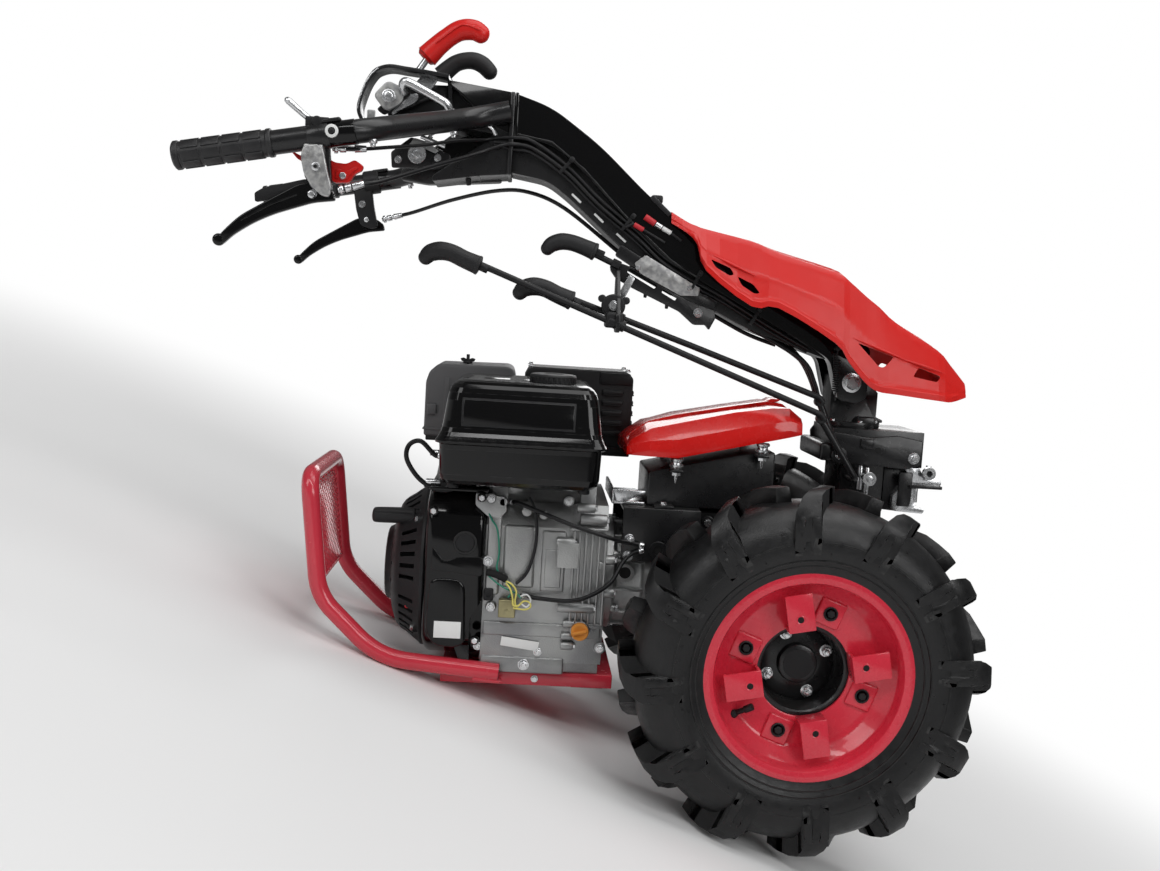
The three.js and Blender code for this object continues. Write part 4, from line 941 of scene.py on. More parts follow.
def top_cover():
    """The faceted cover: a stepped nose, a creased flank and a raised spine."""
    loops = []
    for x, flank, ridge, half in (
            (-238, 270, 274, 84), (-230, 279, 284, 87), (-205, 296, 303, 94), (-165, 306, 318, 95),
            (-85, 326, 333, 95), (-32, 335, 344, 95), (-7, 336, 340, 94), (12, 322, 326, 90)):
        low = 257 + max(0, x + 165) * 0.24
        crease = low + 0.42 * (flank - low)
        spine = 30 if x > -200 else 24
        step = 4.0 if -200 < x < 0 else 1.0
        fall = (ridge - flank) * (1 - spine / (half - 14))
        halves = [(half, low), (half + 0.2, crease - 7), (half - 2.2, crease + 6), (half - 14, flank),
                  (spine + 4, flank + fall - step), (spine, flank + fall + 0.5)]
        loops.append([Vector((x, y, z)) for y, z in halves]
                     + [Vector((x, -y, z)) for y, z in reversed(halves)])
    shell = lofted(loops)
    rounded(shell, sharp_edges(shell, 12), 1.6, 3)
    cover = Piece("gearbox_top_cover", "root", "gearbox_cover", angle=30)
    cover.add(shell, RED_ENAMEL)
    cover.add(plate([(-34, 338), (-12, 341), (-6, 345), (-22, 345)], -20, 20, edge=1.2))
    cover.done()


def drive_end():
    socket = Piece("drive_socket", "root", "pto_housing", angle=38)
    socket.add(spun(
        [(0, 150.3), (60.5, 150.3), (62, 152), (62, 163), (60, 165), (52, 167), (50, 170), (50, 190),
        (52, 193), (58, 195), (60, 197), (60, 203.6), (58.6, 205), (25, 205), (24, 204), (24, 175),
        (17.5, 175), (17.5, 158.3), (0, 158.3)], axis="X", steps=60), PAINT, Matrix.Translation((0, 0, 70)))
    for i in range(6):
        turn = turned(60 * i + 30, "X", (0, 0, 70))
        socket.add(hexagon((164, 0, 56), (170, 0, 56), 5.0), ZINC, turn)
    for i in range(2):
        turn = turned(180 * i + 90, "X", (0, 0, 70))
        socket.add(bar((199, 0, 45), (205.6, 0, 45), 6.4, sides=24, edge=0.8), ZINC, turn)
    socket.done()
    dog = carried("pto_coupling", "drive_dog", ZINC, "pto", edge=0.6, angle=40, crease=30)
    for i in range(3):
        turn = turned(120 * i, "X", (0, 0, 70))
        dog.add(block(200, 212, -3, 3, 11, 19.5, edge=1.0), ZINC, turn)
    dog.done()
    latch = Piece("latch_plate", "root", "hitch_latch")
    latch.add(plate(
        [(166, 192), (208, 190), (211, 196), (199, 200), (194, 206), (193, 229), (229, 229), (233, 236),
        (229, 243), (206, 244), (198, 257.6), (176, 257.6), (184, 240), (161, 214), (161, 196)], -58, -46,
        edge=1.0, corner=1.5), ZINC)
    latch.add(plate([(168, 200), (186, 200), (188, 212), (188, 250), (168, 250)], -62, -57, edge=1.0), PAINT)
    latch.add(block(183, 232, -66, -40, 228, 233, edge=1.2), PAINT)
    latch.add(bar((196, -52, 206), (196, -52, 232), 4.2, edge=0.6))
    latch.add(ring((207, -70, 252), NEARWARD, 4.6, 9.5, 7))
    latch.add(pin(207, 252, -71, -58, 4.7, edge=0.4), PAINT)
    latch.add(bar((207, -58, 240), (212, -58, 262), 4.0, edge=0.8))
    latch.done()


# ---------- column ----------
def column():
    foot = carried("column_base", "column_foot", PAINT, "root", edge=1.6, angle=40, crease=35)
    foot.add(block(46, 66, -66, 66, 262, 288, edge=5, segments=3))
    flank = [(60, 296), (64, 262), (176, 255), (198, 262), (198, 298), (160, 304), (120, 299), (66, 305)]
    cheek = [(147, 192), (176, 190), (187, 204), (184, 262), (147, 262)]
    for side in (NEAR, FAR):
        foot.add(plate(flank, *sorted((side * 60, side * 64)), edge=1.2, corner=2))
        foot.add(plate(cheek, *sorted((side * 41, side * 45)), edge=1.2, corner=2))
        bolt(foot, (186, side * 64, 272), (0, side, 0), 7.5, stud=4)
        foot.add(pin(74, 272, side * 62, side * 70, 12, edge=2, segments=3))
        bolt(foot, (74, side * 70, 272), (0, side, 0), 5.6)
        # A near-black disc on the flank plate is painted shade in a hole.
        foot.add(pin(132, 281, side * 60, side * 64.6, 4.6), DARK)
        foot.add(block(105, 124, side * 62, side * 69, 283, 297, edge=1.6))
        foot.add(bar((114, side * 45, 220), (114, side * 45, 256), 4.2, edge=0.5), ZINC)
    foot.add(ring((116, -82, 241), NEARWARD, 5.2, 10, 6), ZINC)
    foot.add(pin(116, 241, -88, -60, 5.3, edge=0.6), ZINC)
    foot.add(bar((117, -70, 210), (117, -70, 256), 3.6, edge=0.6), ZINC)
    foot.done()
    head = carried("column_head", "column_turntable", PAINT, "column", edge=1.4, angle=40, crease=35)
    head.add(block(105, 131, -40, -24, 309, 327, edge=1.6))
    head.add(block(105, 131, 24, 40, 309, 327, edge=1.6))
    head.add(plate([(136, 318), (150, 318), (150, 322), (140, 326), (136, 352)], -14, 14, edge=1.2))
    for i in range(6):
        turn = turned(60 * i + 40, "Z", (102, 0, 0))
        head.add(hexagon((40, 0, 318), (40, 0, 321.5), 3.6, edge=0.5), ZINC, turn)
    head.done()
    for node, name, points in (
            ("gear_arm", "gear_crank", [(36, -95, 325), (93, -95, 240), (93, -45.3, 240)]),
            ("pto_arm", "drive_crank", [(38, -70, 348), (72, -70, 272), (72, -60.3, 272)])):
        crank = Piece(name, "root", node, angle=50)
        crank.add(tube(bent(points, 9, 8), 5.0, sides=22), PAINT)
        elbow = Vector(points[0])
        crank.add(bar(elbow + 6 * NEARWARD, elbow + 6 * FARWARD, 7.5, edge=1.2))
        crank.done()


# ---------- engine ----------
def crankcase():
    """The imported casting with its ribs, bosses, bolts, cap, wires and bare label on the near side."""
    case = carried("engine_block", "crankcase", CAST, "root", edge=2.2, segments=3)
    near = -112
    for x in (-307, -299, -290, -281, -271, -262):
        case.add(block(x - 1.8, x + 1.8, near - 7, near + 2, 14, 148, edge=1.2))
    for x0, x1, out, back, z0, z1, edge, segments in (
            (-313, -259.5, 4, 2, 8, 15, 1.6, 2), (-313, -259.5, 4, 2, 147, 153, 1.6, 2),
            (-406, -361, 6, 4, 62, 152, 5.5, 4), (-352, -318, 3.5, 4, 58, 146, 3, 3),
            (-347, -323, 5, 4, 64, 120, 2.2, 3), (-430, -410, 5, 4, 50, 178, 4, 3),
            (-430, -262, 3, 3, -8, 12, 2.4, 3), (-431, -312, 2, 6, -62, -38, 3, 3),
            (-431, -300, -1, 8, -40, -10, 3, 2)):
        case.add(block(x0, x1, near - out, near + back, z0, z1, edge=edge, segments=segments))
    for x0, x1, y, z, r in (
            (-326, -274, -117, 38, 7.5), (-306, -280, -118, 182, 7), (-316, -300, -116, 14, 6),
            (-318, -302, -116, -4, 6), (-318, -300, -116, -18, 6), (-300, -262, -114, 165, 8),
            (-262, -248, -112, 108, 7), (-262, -246, -110, 60, 7), (-332, -306, -116, 132, 7)):
        case.add(bar((x0, y, z), (x1, y, z), r, sides=28, edge=1.6))
        case.add(hexagon((x1 - 0.5, y, z), (x1 + 3, y, z), r * 0.62, edge=0.5), ZINC)
    for x, z, r, depth in (
            (-318, 190, 8.5, 6), (-427, 188, 9, 8), (-410, 184, 7, 8), (-427, 99, 9, 6), (-420, 33, 8, 6),
            (-352, 168, 7, 4), (-376, 172, 8, 4), (-262, -20, 9, 5), (-268, 100, 6, 5)):
        case.add(pin(x, z, near + 2, near - depth, r, r * 0.9, sides=28, edge=1.4))
    for x, z, size, out in (
            (-427, 188, 5, 8), (-427, 99, 6.4, 6), (-420, 33, 5.6, 6), (-369, -49, 7.2, 2),
            (-436, -26, 5.4, -2), (-350, -30, 5.4, 0), (-262, -20, 5, 5), (-318, 190, 4.4, 6)):
        bolt(case, (x, near - out, z), NEARWARD, size, stud=1.5)
    case.add(plate([(-449, 196), (-408, 192), (-404, 172), (-414, 160), (-430, 162), (-449, 178)], near - 8,
                   near + 2, edge=1.8, corner=3))
    case.add(block(-431, -417, near - 8, near, 42, 60, edge=2.4), PLASTIC)
    case.add(ring((-424, near - 8.2, 51), NEARWARD, 3.4, 6.4, 2), SATIN)
    cap = spun([(0, 0), (11.4, 0), (12.6, 1.2), (12.6, 7.4), (11.8, 8.6), (8.8, 9.2), (7.6, 8.2), (0, 8.2)],
               axis="Z", steps=44)
    face = Matrix.Translation((-292, near - 7, 5)) @ NEARWARD.to_track_quat("Z", "Y").to_matrix().to_4x4()
    case.add(cap, OIL_CAP, face)
    slot_turn = face @ turned(14, "Z")
    case.add(block(-10.4, 10.4, -2.3, 2.3, 7.4, 12.4, edge=1.6, segments=3), OIL_CAP, slot_turn)
    case.add(pin(-292, 5, near + 2, near - 8, 15.5, 13.8, sides=36, edge=1.2))
    tilt = turned(7, "Y", (-376, near - 2.1, -19))
    case.add(block(-27, 27, -0.9, 1.2, -6.6, 6.6, edge=0.4), LABEL, tilt)
    case.add(block(-409, -385, near - 17, near - 4, 21, 47, edge=2, segments=3), BRASS)
    case.add(pin(-397, 30, near - 17.6, near - 16, 4.2, sides=24, edge=0.5), BRASS)
    case.add(tube(flowing([(-427, -122, 84), (-414, -126, 82), (-400, -123, 75)], 5), 5.2, sides=14), DARK)
    wires = (
        (WIRE_GREEN, 1.3, [(-432, -117, 172), (-424, -122, 158), (-416, -124, 145), (-412, -123, 113),
         (-414, -123, 90), (-405, -125, 79), (-396, -126, 70), (-392, -126, 58), (-396, -126, 50)]),
        (WIRE_GREEN, 1.2, [(-426, -124, 80), (-412, -128, 70), (-398, -127, 62), (-384, -126, 56),
         (-378, -127, 50)]),
        (WIRE_YELLOW, 1.3, [(-402, -126, 74), (-392, -129, 70), (-385, -129, 60), (-386, -129, 46),
         (-383, -129, 38),
         (-374, -128, 46), (-366, -128, 45), (-364, -127, 38), (-372, -127, 34), (-388, -129, 36)]),
        (WIRE_YELLOW, 1.3, [(-400, -126, 70), (-394, -130, 64), (-390, -130, 52), (-388, -130, 40),
         (-380, -129, 40)]),
        (WIRE_WHITE, 1.2, [(-380, -126, 52), (-370, -129, 56), (-364, -128, 48), (-369, -127, 38),
         (-377, -127, 42)]),
        (SHEATH, 2.4, [(-374, -118, 192), (-366, -124, 178), (-361, -126, 150), (-363, -126, 116),
         (-372, -125, 86), (-386, -125, 70)]))
    for colour, wide, points in wires:
        case.add(tube(flowing(points, 7), wide, sides=10), colour)
    for y in (-60, 0, 60):
        case.add(block(-434, -426, y - 18, y + 18, -60, -46, edge=2))
    for i in range(7):
        z = 96 + 17 * i
        case.add(block(-428, -286, 118, 214, z, z + 3.4, edge=1.2))
        case.add(block(-434, -280, 150, 213, z, z + 3.4, edge=1.2))
    case.done()
    cover = Piece("rocker_cover", "root", "cylinder_head")
    cover.add(block(-426, -290, 215.4, 247.3, 80, 212, edge=4, segments=3), CAST)
    cover.add(block(-410, -306, 246, 261.6, 96, 198, edge=7, segments=4), PAINT)
    for x, z in ((-418, 88), (-298, 88), (-418, 204), (-298, 204)):
        bolt(cover, (x, 247.2, z), FARWARD, 5.6)
    for i in range(6):
        cover.add(block(-430, -286, 219 + 4.6 * i, 220.8 + 4.6 * i, 84, 208, edge=0.6))
    bolt(cover, (-358, 261.4, 147), FARWARD, 6)
    cover.add(tube(
        flowing([(-300, 247, 120), (-292, 258, 122), (-280, 262, 128), (-276, 262, 150), (-286, 250, 190),
        (-300, 220, 208)], 7), 4.2, sides=14), SHEATH)
    cover.done()


def blower():
    back, front = -432.4, -516.2
    loop = [(108, 214), (196, 222), (233, 220), (233, 92), (196, 40), (118, 22), (104, -8), (74, -36),
            (20, -55), (-52, -53), (-92, -36), (-116, -22), (-125, 0), (-126, 60), (-126, 126), (-121, 160),
            (-104, 184), (-70, 196), (30, 198), (84, 214)]
    shroud = Piece("blower_shroud", "root", "fan_shroud", angle=36)
    body = cross_plate(loop, front, back, edge=10, segments=6, corner=10)
    notch = plate(
        eased([(-449, -70), (-449, 18, 10), (-432, 44), (-420, 44), (-420, -70)], 4), -150, -84, edge=0)
    shroud.add(carved(body, notch), GLOSS)
    shroud.add(plate(
        eased([(-508, 74, 16), (-456, 74, 20), (-453, -20, 10), (-470, -27, 6), (-500, -24, 14),
        (-511, 0, 10)]), -128, -116, edge=5, segments=4))
    shroud.add(plate(
        [(-506, 84), (-434, 78), (-434, 106), (-470, 104), (-488, 96), (-506, 120)], -127.4, -118, edge=3,
        segments=3, corner=5))
    shroud.add(spun(
        [(0, -4), (13.4, -4), (13.4, 0.6), (12.2, 1.8), (9, 2.2), (0, 2.0)], axis="Z", steps=40), SATIN,
        Matrix.Translation((-460, -126.2, 125)) @ NEARWARD.to_track_quat("Z", "Y").to_matrix().to_4x4())
    shroud.add(ring((-460, -125.8, 125), NEARWARD, 13.6, 17, 1.6))
    shroud.add(block(-498, -460, -128.1, -127.2, -12, 12, edge=0.3), LABEL)
    shroud.add(block(-514, -431, -120, 100, 196, 201, edge=2))
    shroud.add(plate([(-470, -24), (-448, -24), (-446, -60), (-456, -60)], -118, -114, edge=0.8), PAINT)
    for x, z in ((-440, 190), (-440, -14), (-506, 168)):
        shroud.add(pin(x, z, -122, -128, 6.5, sides=24, edge=0.8))
        shroud.add(hexagon((x, -127.5, z), (x, -131, z), 4.6), ZINC)
    shroud.add(bar((-520, -108, 206), (-500, -108, 206), 4.4, edge=0.8), ZINC)
    shroud.add(bar((-517, -98, 246), (-500, -98, 246), 4.4, edge=0.8), ZINC)
    shroud.add(bar((-526, -66, 196), (-516, -66, 196), 4.2, sides=6, edge=0.6), ZINC)
    shroud.done()

    middle = Matrix.Translation((0, 0, 67))
    cover = spun([
        (0, -516.7), (119, -516.7), (121, -518.4), (120.6, -522), (117, -526), (104, -543), (99, -551),
        (94, -557), (88, -561), (80, -563.6), (71, -566.8), (60, -568.4), (56, -571), (53, -577),
        (50, -578.6), (30, -578.9), (0, -578.9)], axis="X", steps=72)
    slots = []
    for count, spoke, sizes in (
            (40, 6, (-553, -531, -3.2, 3.2, 86, 130)), (18, 19, (-590, -566, -2.6, 2.6, 60, 76))):
        for i in range(count):
            if i % spoke == spoke - 1:
                continue
            slot = block(*sizes, edge=0)
            slot.transform(Matrix.Rotation(2 * math.pi * i / count, 4, "X"))
            slots.append(slot)
    merged = shaped()
    for slot in slots:
        mesh = bpy.data.meshes.new("slot")
        slot.to_mesh(mesh)
        slot.free()
        merged.from_mesh(mesh)
        bpy.data.meshes.remove(mesh)
    starter = Piece("pull_starter", "root", "recoil_starter", angle=34)
    starter.add(carved(cover, merged), SATIN, middle)
    # A near-black disc behind the slotted cover is painted shade seen through the slots.
    starter.add(bar((-556, 0, 67), (-524, 0, 67), 84, sides=64), DARK)
    for i in range(4):
        turn = middle @ turned(45 + 90 * i, "X")
        starter.add(bar((-517, 0, 112), (-531, 0, 112), 7, sides=20, edge=1), SATIN, turn)
        starter.add(hexagon((-530, 0, 112), (-535, 0, 112), 4.6, edge=0.5), ZINC, turn)
    starter.add(bar((-540, -91, 24), (-540, -95, 22), 3.0, edge=0.6), WIRE_RED)
    handle = tube(
        flowing([(-598, -60, 147), (-592, -60, 147), (-570, -60, 147.5), (-548, -60, 148), (-536, -60, 148)],
        5), [6, 8, 9.5, 10.6, 11.4, 11.8, 12, 12.1, 12.2, 12.2, 12.3, 12.3, 12.3, 12.4, 12.4, 12.5, 12.6,
        12.6, 12.6, 12.2, 10.5], sides=30, flat=0.94)
    slit = block(-600, -540, -80, -69.5, 151.5, 154.5, edge=0)
    starter.add(carved(handle, slit), PLASTIC)
    starter.add(bar((-537, -60, 148), (-524, -60, 148), 9, 11, sides=26, edge=1.2), PLASTIC)
    starter.add(block(-530, -517, -72, -48, 132, 160, edge=3))
    # A near-black disc in the handle's end is painted shade in the rope hole.
    starter.add(bar((-597.6, -60, 147), (-594, -60, 147), 3.8, edge=0.6), DARK)
    starter.done()


def tank():
    piece = Piece("petrol_tank", "root", "fuel_tank", angle=28)
    middle = -67
    levels = ((212, -484, -296, 103, 16), (214.5, -491, -289, 110, 17), (220, -497, -283, 116, 18),
              (228, -499, -281, 118, 18), (262, -500, -280, 119, 18), (268, -500.4, -279.6, 119.4, 18),
              (269.2, -502.5, -277, 122, 19), (270.4, -505.6, -273.4, 124.6, 20),
              (273.2, -505.9, -273.1, 124.9, 20), (274.6, -505, -274, 124, 20),
              (276.4, -503.6, -275.4, 122.8, 19), (280, -501.6, -277.4, 120.6, 18),
              (285, -499.4, -279.6, 118, 18), (291, -497.8, -281.2, 116, 19),
              (300, -496.6, -282.4, 114.6, 20), (328, -493, -286, 110.6, 20), (338, -491, -288, 108.6, 20),
              (344.6, -488.8, -290.2, 106, 20), (349.4, -485.6, -293.4, 102, 20), (353, -481, -298, 96.6, 20),
              (355.2, -475, -304, 89.6, 18), (356, -467, -312, 81, 16))
    loops = [rounded_box_loop(x0, x1, middle - half, middle + half, corner, z, 7) for z, x0, x1, half,
             corner in levels]
    piece.add(lofted(loops), GLOSS)
    lean = Matrix.Translation((-395, -180.0, 313)) @ Matrix.Rotation(-math.atan2(4, 28), 4, "X")
    piece.add(block(-74, 74, -0.7, 3, -16.5, 16.5, edge=0.5), GLOSS, lean)
    piece.add(block(-76.5, 76.5, -0.3, 2, -19, 19, edge=0.25), SATIN, lean)
    for x in (-420, -366):
        piece.add(block(x - 26, x + 10, -120, -10, 355, 356.5, edge=0.6))
    for x, y in ((-480, -150), (-300, -150), (-480, 16), (-300, 16)):
        piece.add(bar((x, y, 206), (x, y, 214), 8, sides=20, edge=1), SATIN)
    piece.done()
    cap = Piece("petrol_cap", "root", "fuel_cap", angle=34)
    centre = Matrix.Translation((-350, -104, 0))
    cap.add(spun([
        (0, 353), (31.4, 353), (33, 354), (33, 355.4), (31.6, 356.4), (31.6, 361.6), (32.9, 362.6),
        (32.9, 364.2), (31.4, 366.2), (28, 367.1), (15, 367.2), (13.6, 366.2), (0, 366.2)], axis="Z",
        steps=72), PLASTIC, centre)
    for i in range(30):
        turn = centre @ Matrix.Rotation(2 * math.pi * i / 30, 4, "Z")
        cap.add(block(30.4, 33.0, -1.6, 1.6, 356, 362.4, edge=0.6), PLASTIC, turn)
    cap.done()


def intake_and_silencer():
    carb = carried("carburettor", "carburettor_body", CAST, "root", edge=1.5)
    carb.add(bar((-500, 140, 226), (-484, 140, 226), 13, sides=32, edge=2))
    carb.add(pin(-466, 226, 112, 104, 9, sides=28, edge=1.4), BRASS)
    bolt(carb, (-480, 112, 238), NEARWARD, 3.6)
    carb.add(block(-478, -452, 118, 162, 206, 224, edge=4, segments=3))
    carb.done()
    box = Piece("air_filter", "root", "air_cleaner", angle=30)
    box.add(plate([(-541, 252), (-541, 336), (-536, 352), (-523, 364), (-416, 366), (-408, 362), (-404, 350),
                   (-404, 252)], 68, 205, edge=7, segments=4, corner=4), FILTER_GREY)
    box.add(plate(
        [(-538, 245.2), (-538, 254), (-407, 254), (-407, 245.2)], 71, 202, edge=1.4, corner=2), SATIN)
    box.add(block(-543, -402, 66, 207, 262, 265, edge=1.2))
    for x in (-508, -480, -452):
        box.add(block(x - 4, x + 4, 66.8, 70, 276, 344, edge=1.2))
    box.add(bar((-480, 112, 362), (-480, 112, 380), 2.6, sides=18, edge=0.5), SATIN)
    box.add(bar((-480, 112, 365.6), (-480, 112, 369), 7.4, sides=28, edge=0.8), SATIN)
    for side in (-1, 1):
        box.add(plate([(-480, 367.5), (-480 + side * 10, 369), (-480 + side * 12, 373),
                       (-480 + side * 7, 374.6), (-480, 371.8)], 110.6, 113.4, edge=0.8), SATIN)
    for x in (-530, -414):
        box.add(block(x - 7, x + 7, 63.5, 70, 286, 302, edge=1.4))
    box.done()
    can = Piece("silencer", "root", "muffler", angle=30)
    can.add(plate([(-389, 240), (-389, 352), (-384, 362), (-376, 367), (-230, 367), (-222, 363), (-217, 354),
                   (-217, 240)], 104, 208, edge=4, segments=3), SATIN)
    can.add(plate([(-389, 232), (-389, 246), (-217, 246), (-217, 232)], 102, 210, edge=2, segments=2))
    can.add(plate([(-270, 346), (-270, 364), (-224, 364), (-218, 357), (-218, 346)], 100, 106, edge=1.4))
    for y, way in ((103, -1), (209, 1)):
        for z in (333, 317, 301, 285, 269):
            for x0, x1 in ((-266, -232),) if way < 0 else ((-372, -330), (-322, -280), (-272, -232)):
                can.add(block(x0, x1, y - 3.4, y + 3.4, z - 4.2, z + 4.2, edge=3, segments=3))
                # A near-black strip under each louvre is painted shade in its gap.
                can.add(block(x0 + 2, x1 - 2, y + way * 1.0, y + way * 3.8, z - 5.0, z - 3.0, edge=0.3), DARK)
    for z in (333, 317, 301, 285, 269):
        can.add(block(-220, -213.6, 122, 190, z - 4.2, z + 4.2, edge=3, segments=3))
        # A near-black strip under each end louvre is painted shade in its gap.
        can.add(block(-216, -213.2, 124, 188, z - 5.0, z - 3.2, edge=0.3), DARK)
    can.add(bar((-330, 206, 262), (-330, 222, 258), 13, sides=36, edge=0.8))
    # A near-black disc in the outlet's bore is painted shade.
    can.add(bar((-330, 216, 260), (-330, 222.4, 258), 10.6, sides=36), DARK)
    can.add(block(-350, -308, 132, 188, 222.4, 240, edge=4, segments=3), CAST_DARK)
    for x, y in ((-380, 116), (-226, 116), (-380, 196), (-226, 196)):
        bolt(can, (x, y, 366.6), (0, 0, 1), 4.2)
    can.done()


# ---------- front guard ----------
def front_guard():
    def side(s):
        return [(-404, s * 118, -61), (-574, s * 118, -47), (-662, s * 118, 38), (-681, s * 118, 207)]
    guard = Piece("front_guard", "root", "guard_frame", angle=50)
    guard.add(tube(bent(side(-1) + side(1)[::-1], [42, 30, 32, 32, 30, 42], 14), 12.4, sides=40), GUARD_RED)
    for s in (-1, 1):
        # A near-black disc in each tube end is painted shade in the bore.
        guard.add(bar((-404.6, s * 118, -61), (-403.2, s * 118, -61.1), 10.6, sides=32), DARK)
        guard.add(plate(
            [(-440, -72), (-404, -75), (-398, -71), (-440, -66)], s * 118 - 9, s * 118 + 9, edge=1.4))
    guard.done()
    panel = Piece("guard_panel", "root", "guard_mesh", angle=50)
    width, low, high = 104, 52, 191

    def lean(z):
        return -662 - (z - 38) * 19 / 169

    def inside(y, z):
        corner = 26
        over_y, over_z = abs(y) - (width - corner), z - (high - corner)
        past_corner = over_y > 0 and over_z > 0 and math.hypot(over_y, over_z) > corner
        return abs(y) <= width and low <= z <= high and not past_corner

    pitch, rise = 24.0, 0.35
    for slope in (1, -1):
        for k in range(-34, 35):
            run = [(y, 130 + slope * rise * (y - k * pitch))
                   for y in (-width + 0.5 * i for i in range(int(4 * width)))]
            run = [(y, z) for y, z in run if inside(y, z)]
            if len(run) < 10:
                continue
            (y0, z0), (y1, z1) = run[0], run[-1]
            a = Vector((lean(z0) + slope * 0.45, y0, z0))
            b = Vector((lean(z1) + slope * 0.45, y1, z1))
            strand = block(
                -1.5, 1.5, -0.6, 0.6, -(b - a).length / 2, (b - a).length / 2, edge=0.25, segments=1)
            strand.transform(turned(-38 * slope, "Z"))
            turn = (b - a).to_track_quat("Z", "X").to_matrix().to_4x4()
            panel.add(strand, GUARD_RED, Matrix.Translation((a + b) / 2) @ turn)
    panel.add(tube([(lean(low), -width, low), (lean(low), width, low)], 2.2, sides=12))
    panel.done()
    belly = carried("engine_plate", "belly_plate", GUARD_RED, "root", edge=1.4)
    for x in (-452, -410, -310, -262):
        for y in (-78, 78):
            bolt(belly, (x, y, -67.6), (0, 0, -1), 6.2)
    belly.add(block(-300, -252, -104, -60, -83, -76, edge=2))
    for s in (NEAR, FAR):
        bolt(belly, (-352, s * 104.2, -72), (0, s, 0), 4.6)
    belly.done()


def engine_lines():
    for node, name, points, radius in (
            ("governor_cable", "governor_line", [(-404, -100, 183), (-394, -108, 183), (-384, -116.6, 182),
             (-350, -132, 172), (-310, -132, 158), (-256, -126, 142), (-236, -106, 134), (-222, -98, 131),
             (-206, -97.4, 128)], 3.1),
            ("stop_cable", "stop_line", [(-378, -124, 53), (-368, -117, 51), (-350, -123, 50),
             (-300, -131, 52), (-256, -123, 74), (-236, -106, 104), (-222, -98, 116), (-206, -97.4, 122)],
             3.1),
            ("fuel_hose", "fuel_line", [(-500.6, -104, 243), (-510, -104, 243.6), (-530, -106, 262),
             (-546, -108, 256), (-548, -110, 236), (-530, -110, 210), (-505, -110, 196), (-484, -110, 197),
             (-478, -110, 205), (-478, -110, 212)], 3.4)):
        line = Piece(name, "root", node, angle=60)
        line.add(tube(flowing(points, 7), radius, sides=16), SHEATH)
        if node == "fuel_hose":
            for at, way in (((-503, -104, 243.1), (1, 0, 0)), ((-478, -110, 206), (0, 0, 1))):
                line.add(ring(Vector(at) - Vector(way) * 2.5, way, 3.3, 5.2, 5, sides=24), ZINC)
        else:
            start, ahead = Vector(points[0]), Vector(points[1])
            line.add(bar(start, start + (ahead - start).normalized() * 9, 4.4, sides=16, edge=0.6), ZINC)
            end, before = Vector(points[-1]), Vector(points[-2])
            line.add(bar(end + (before - end).normalized() * 7, end, 4.4, sides=16, edge=0.6), ZINC)
        line.done()


def engine():
    crankcase()
    blower()
    tank()
    intake_and_silencer()
    front_guard()
    engine_lines()


# ---------- hood ----------
HOOD_STATIONS = (
    (-193, 607, 605.2, 590, 54, 58), (-170, 595, 592, 576, 60, 70), (-157, 590, 587, 560, 64, 84),
    (-144, 586, 583, 524, 67, 98), (-77, 574, 569, 478, 76, 104), (-39, 562, 555, 478, 79, 105),
    (45, 541, 533, 434, 82, 106), (66, 530, 521, 409, 82, 106), (92, 509, 501, 381, 82, 106),
    (112, 495, 487, 369, 82, 105), (139, 473, 466, 366, 80, 104), (204, 438, 431, 360, 74, 96),
    (226, 414, 411, 359, 70, 88), (252, 388, 385, 366, 64, 72))


def flowed(rows, steps=3):
    """Rows of station sizes with more rows between them, on a smooth line through them all."""
    smooth = []
    for i in range(len(rows) - 1):
        before, a, b, after = rows[max(i - 1, 0)], rows[i], rows[i + 1], rows[min(i + 2, len(rows) - 1)]
        for k in range(steps):
            smooth.append([smooth_step(*sizes, k / steps) for sizes in zip(before, a, b, after)])
    return smooth + [rows[-1]]


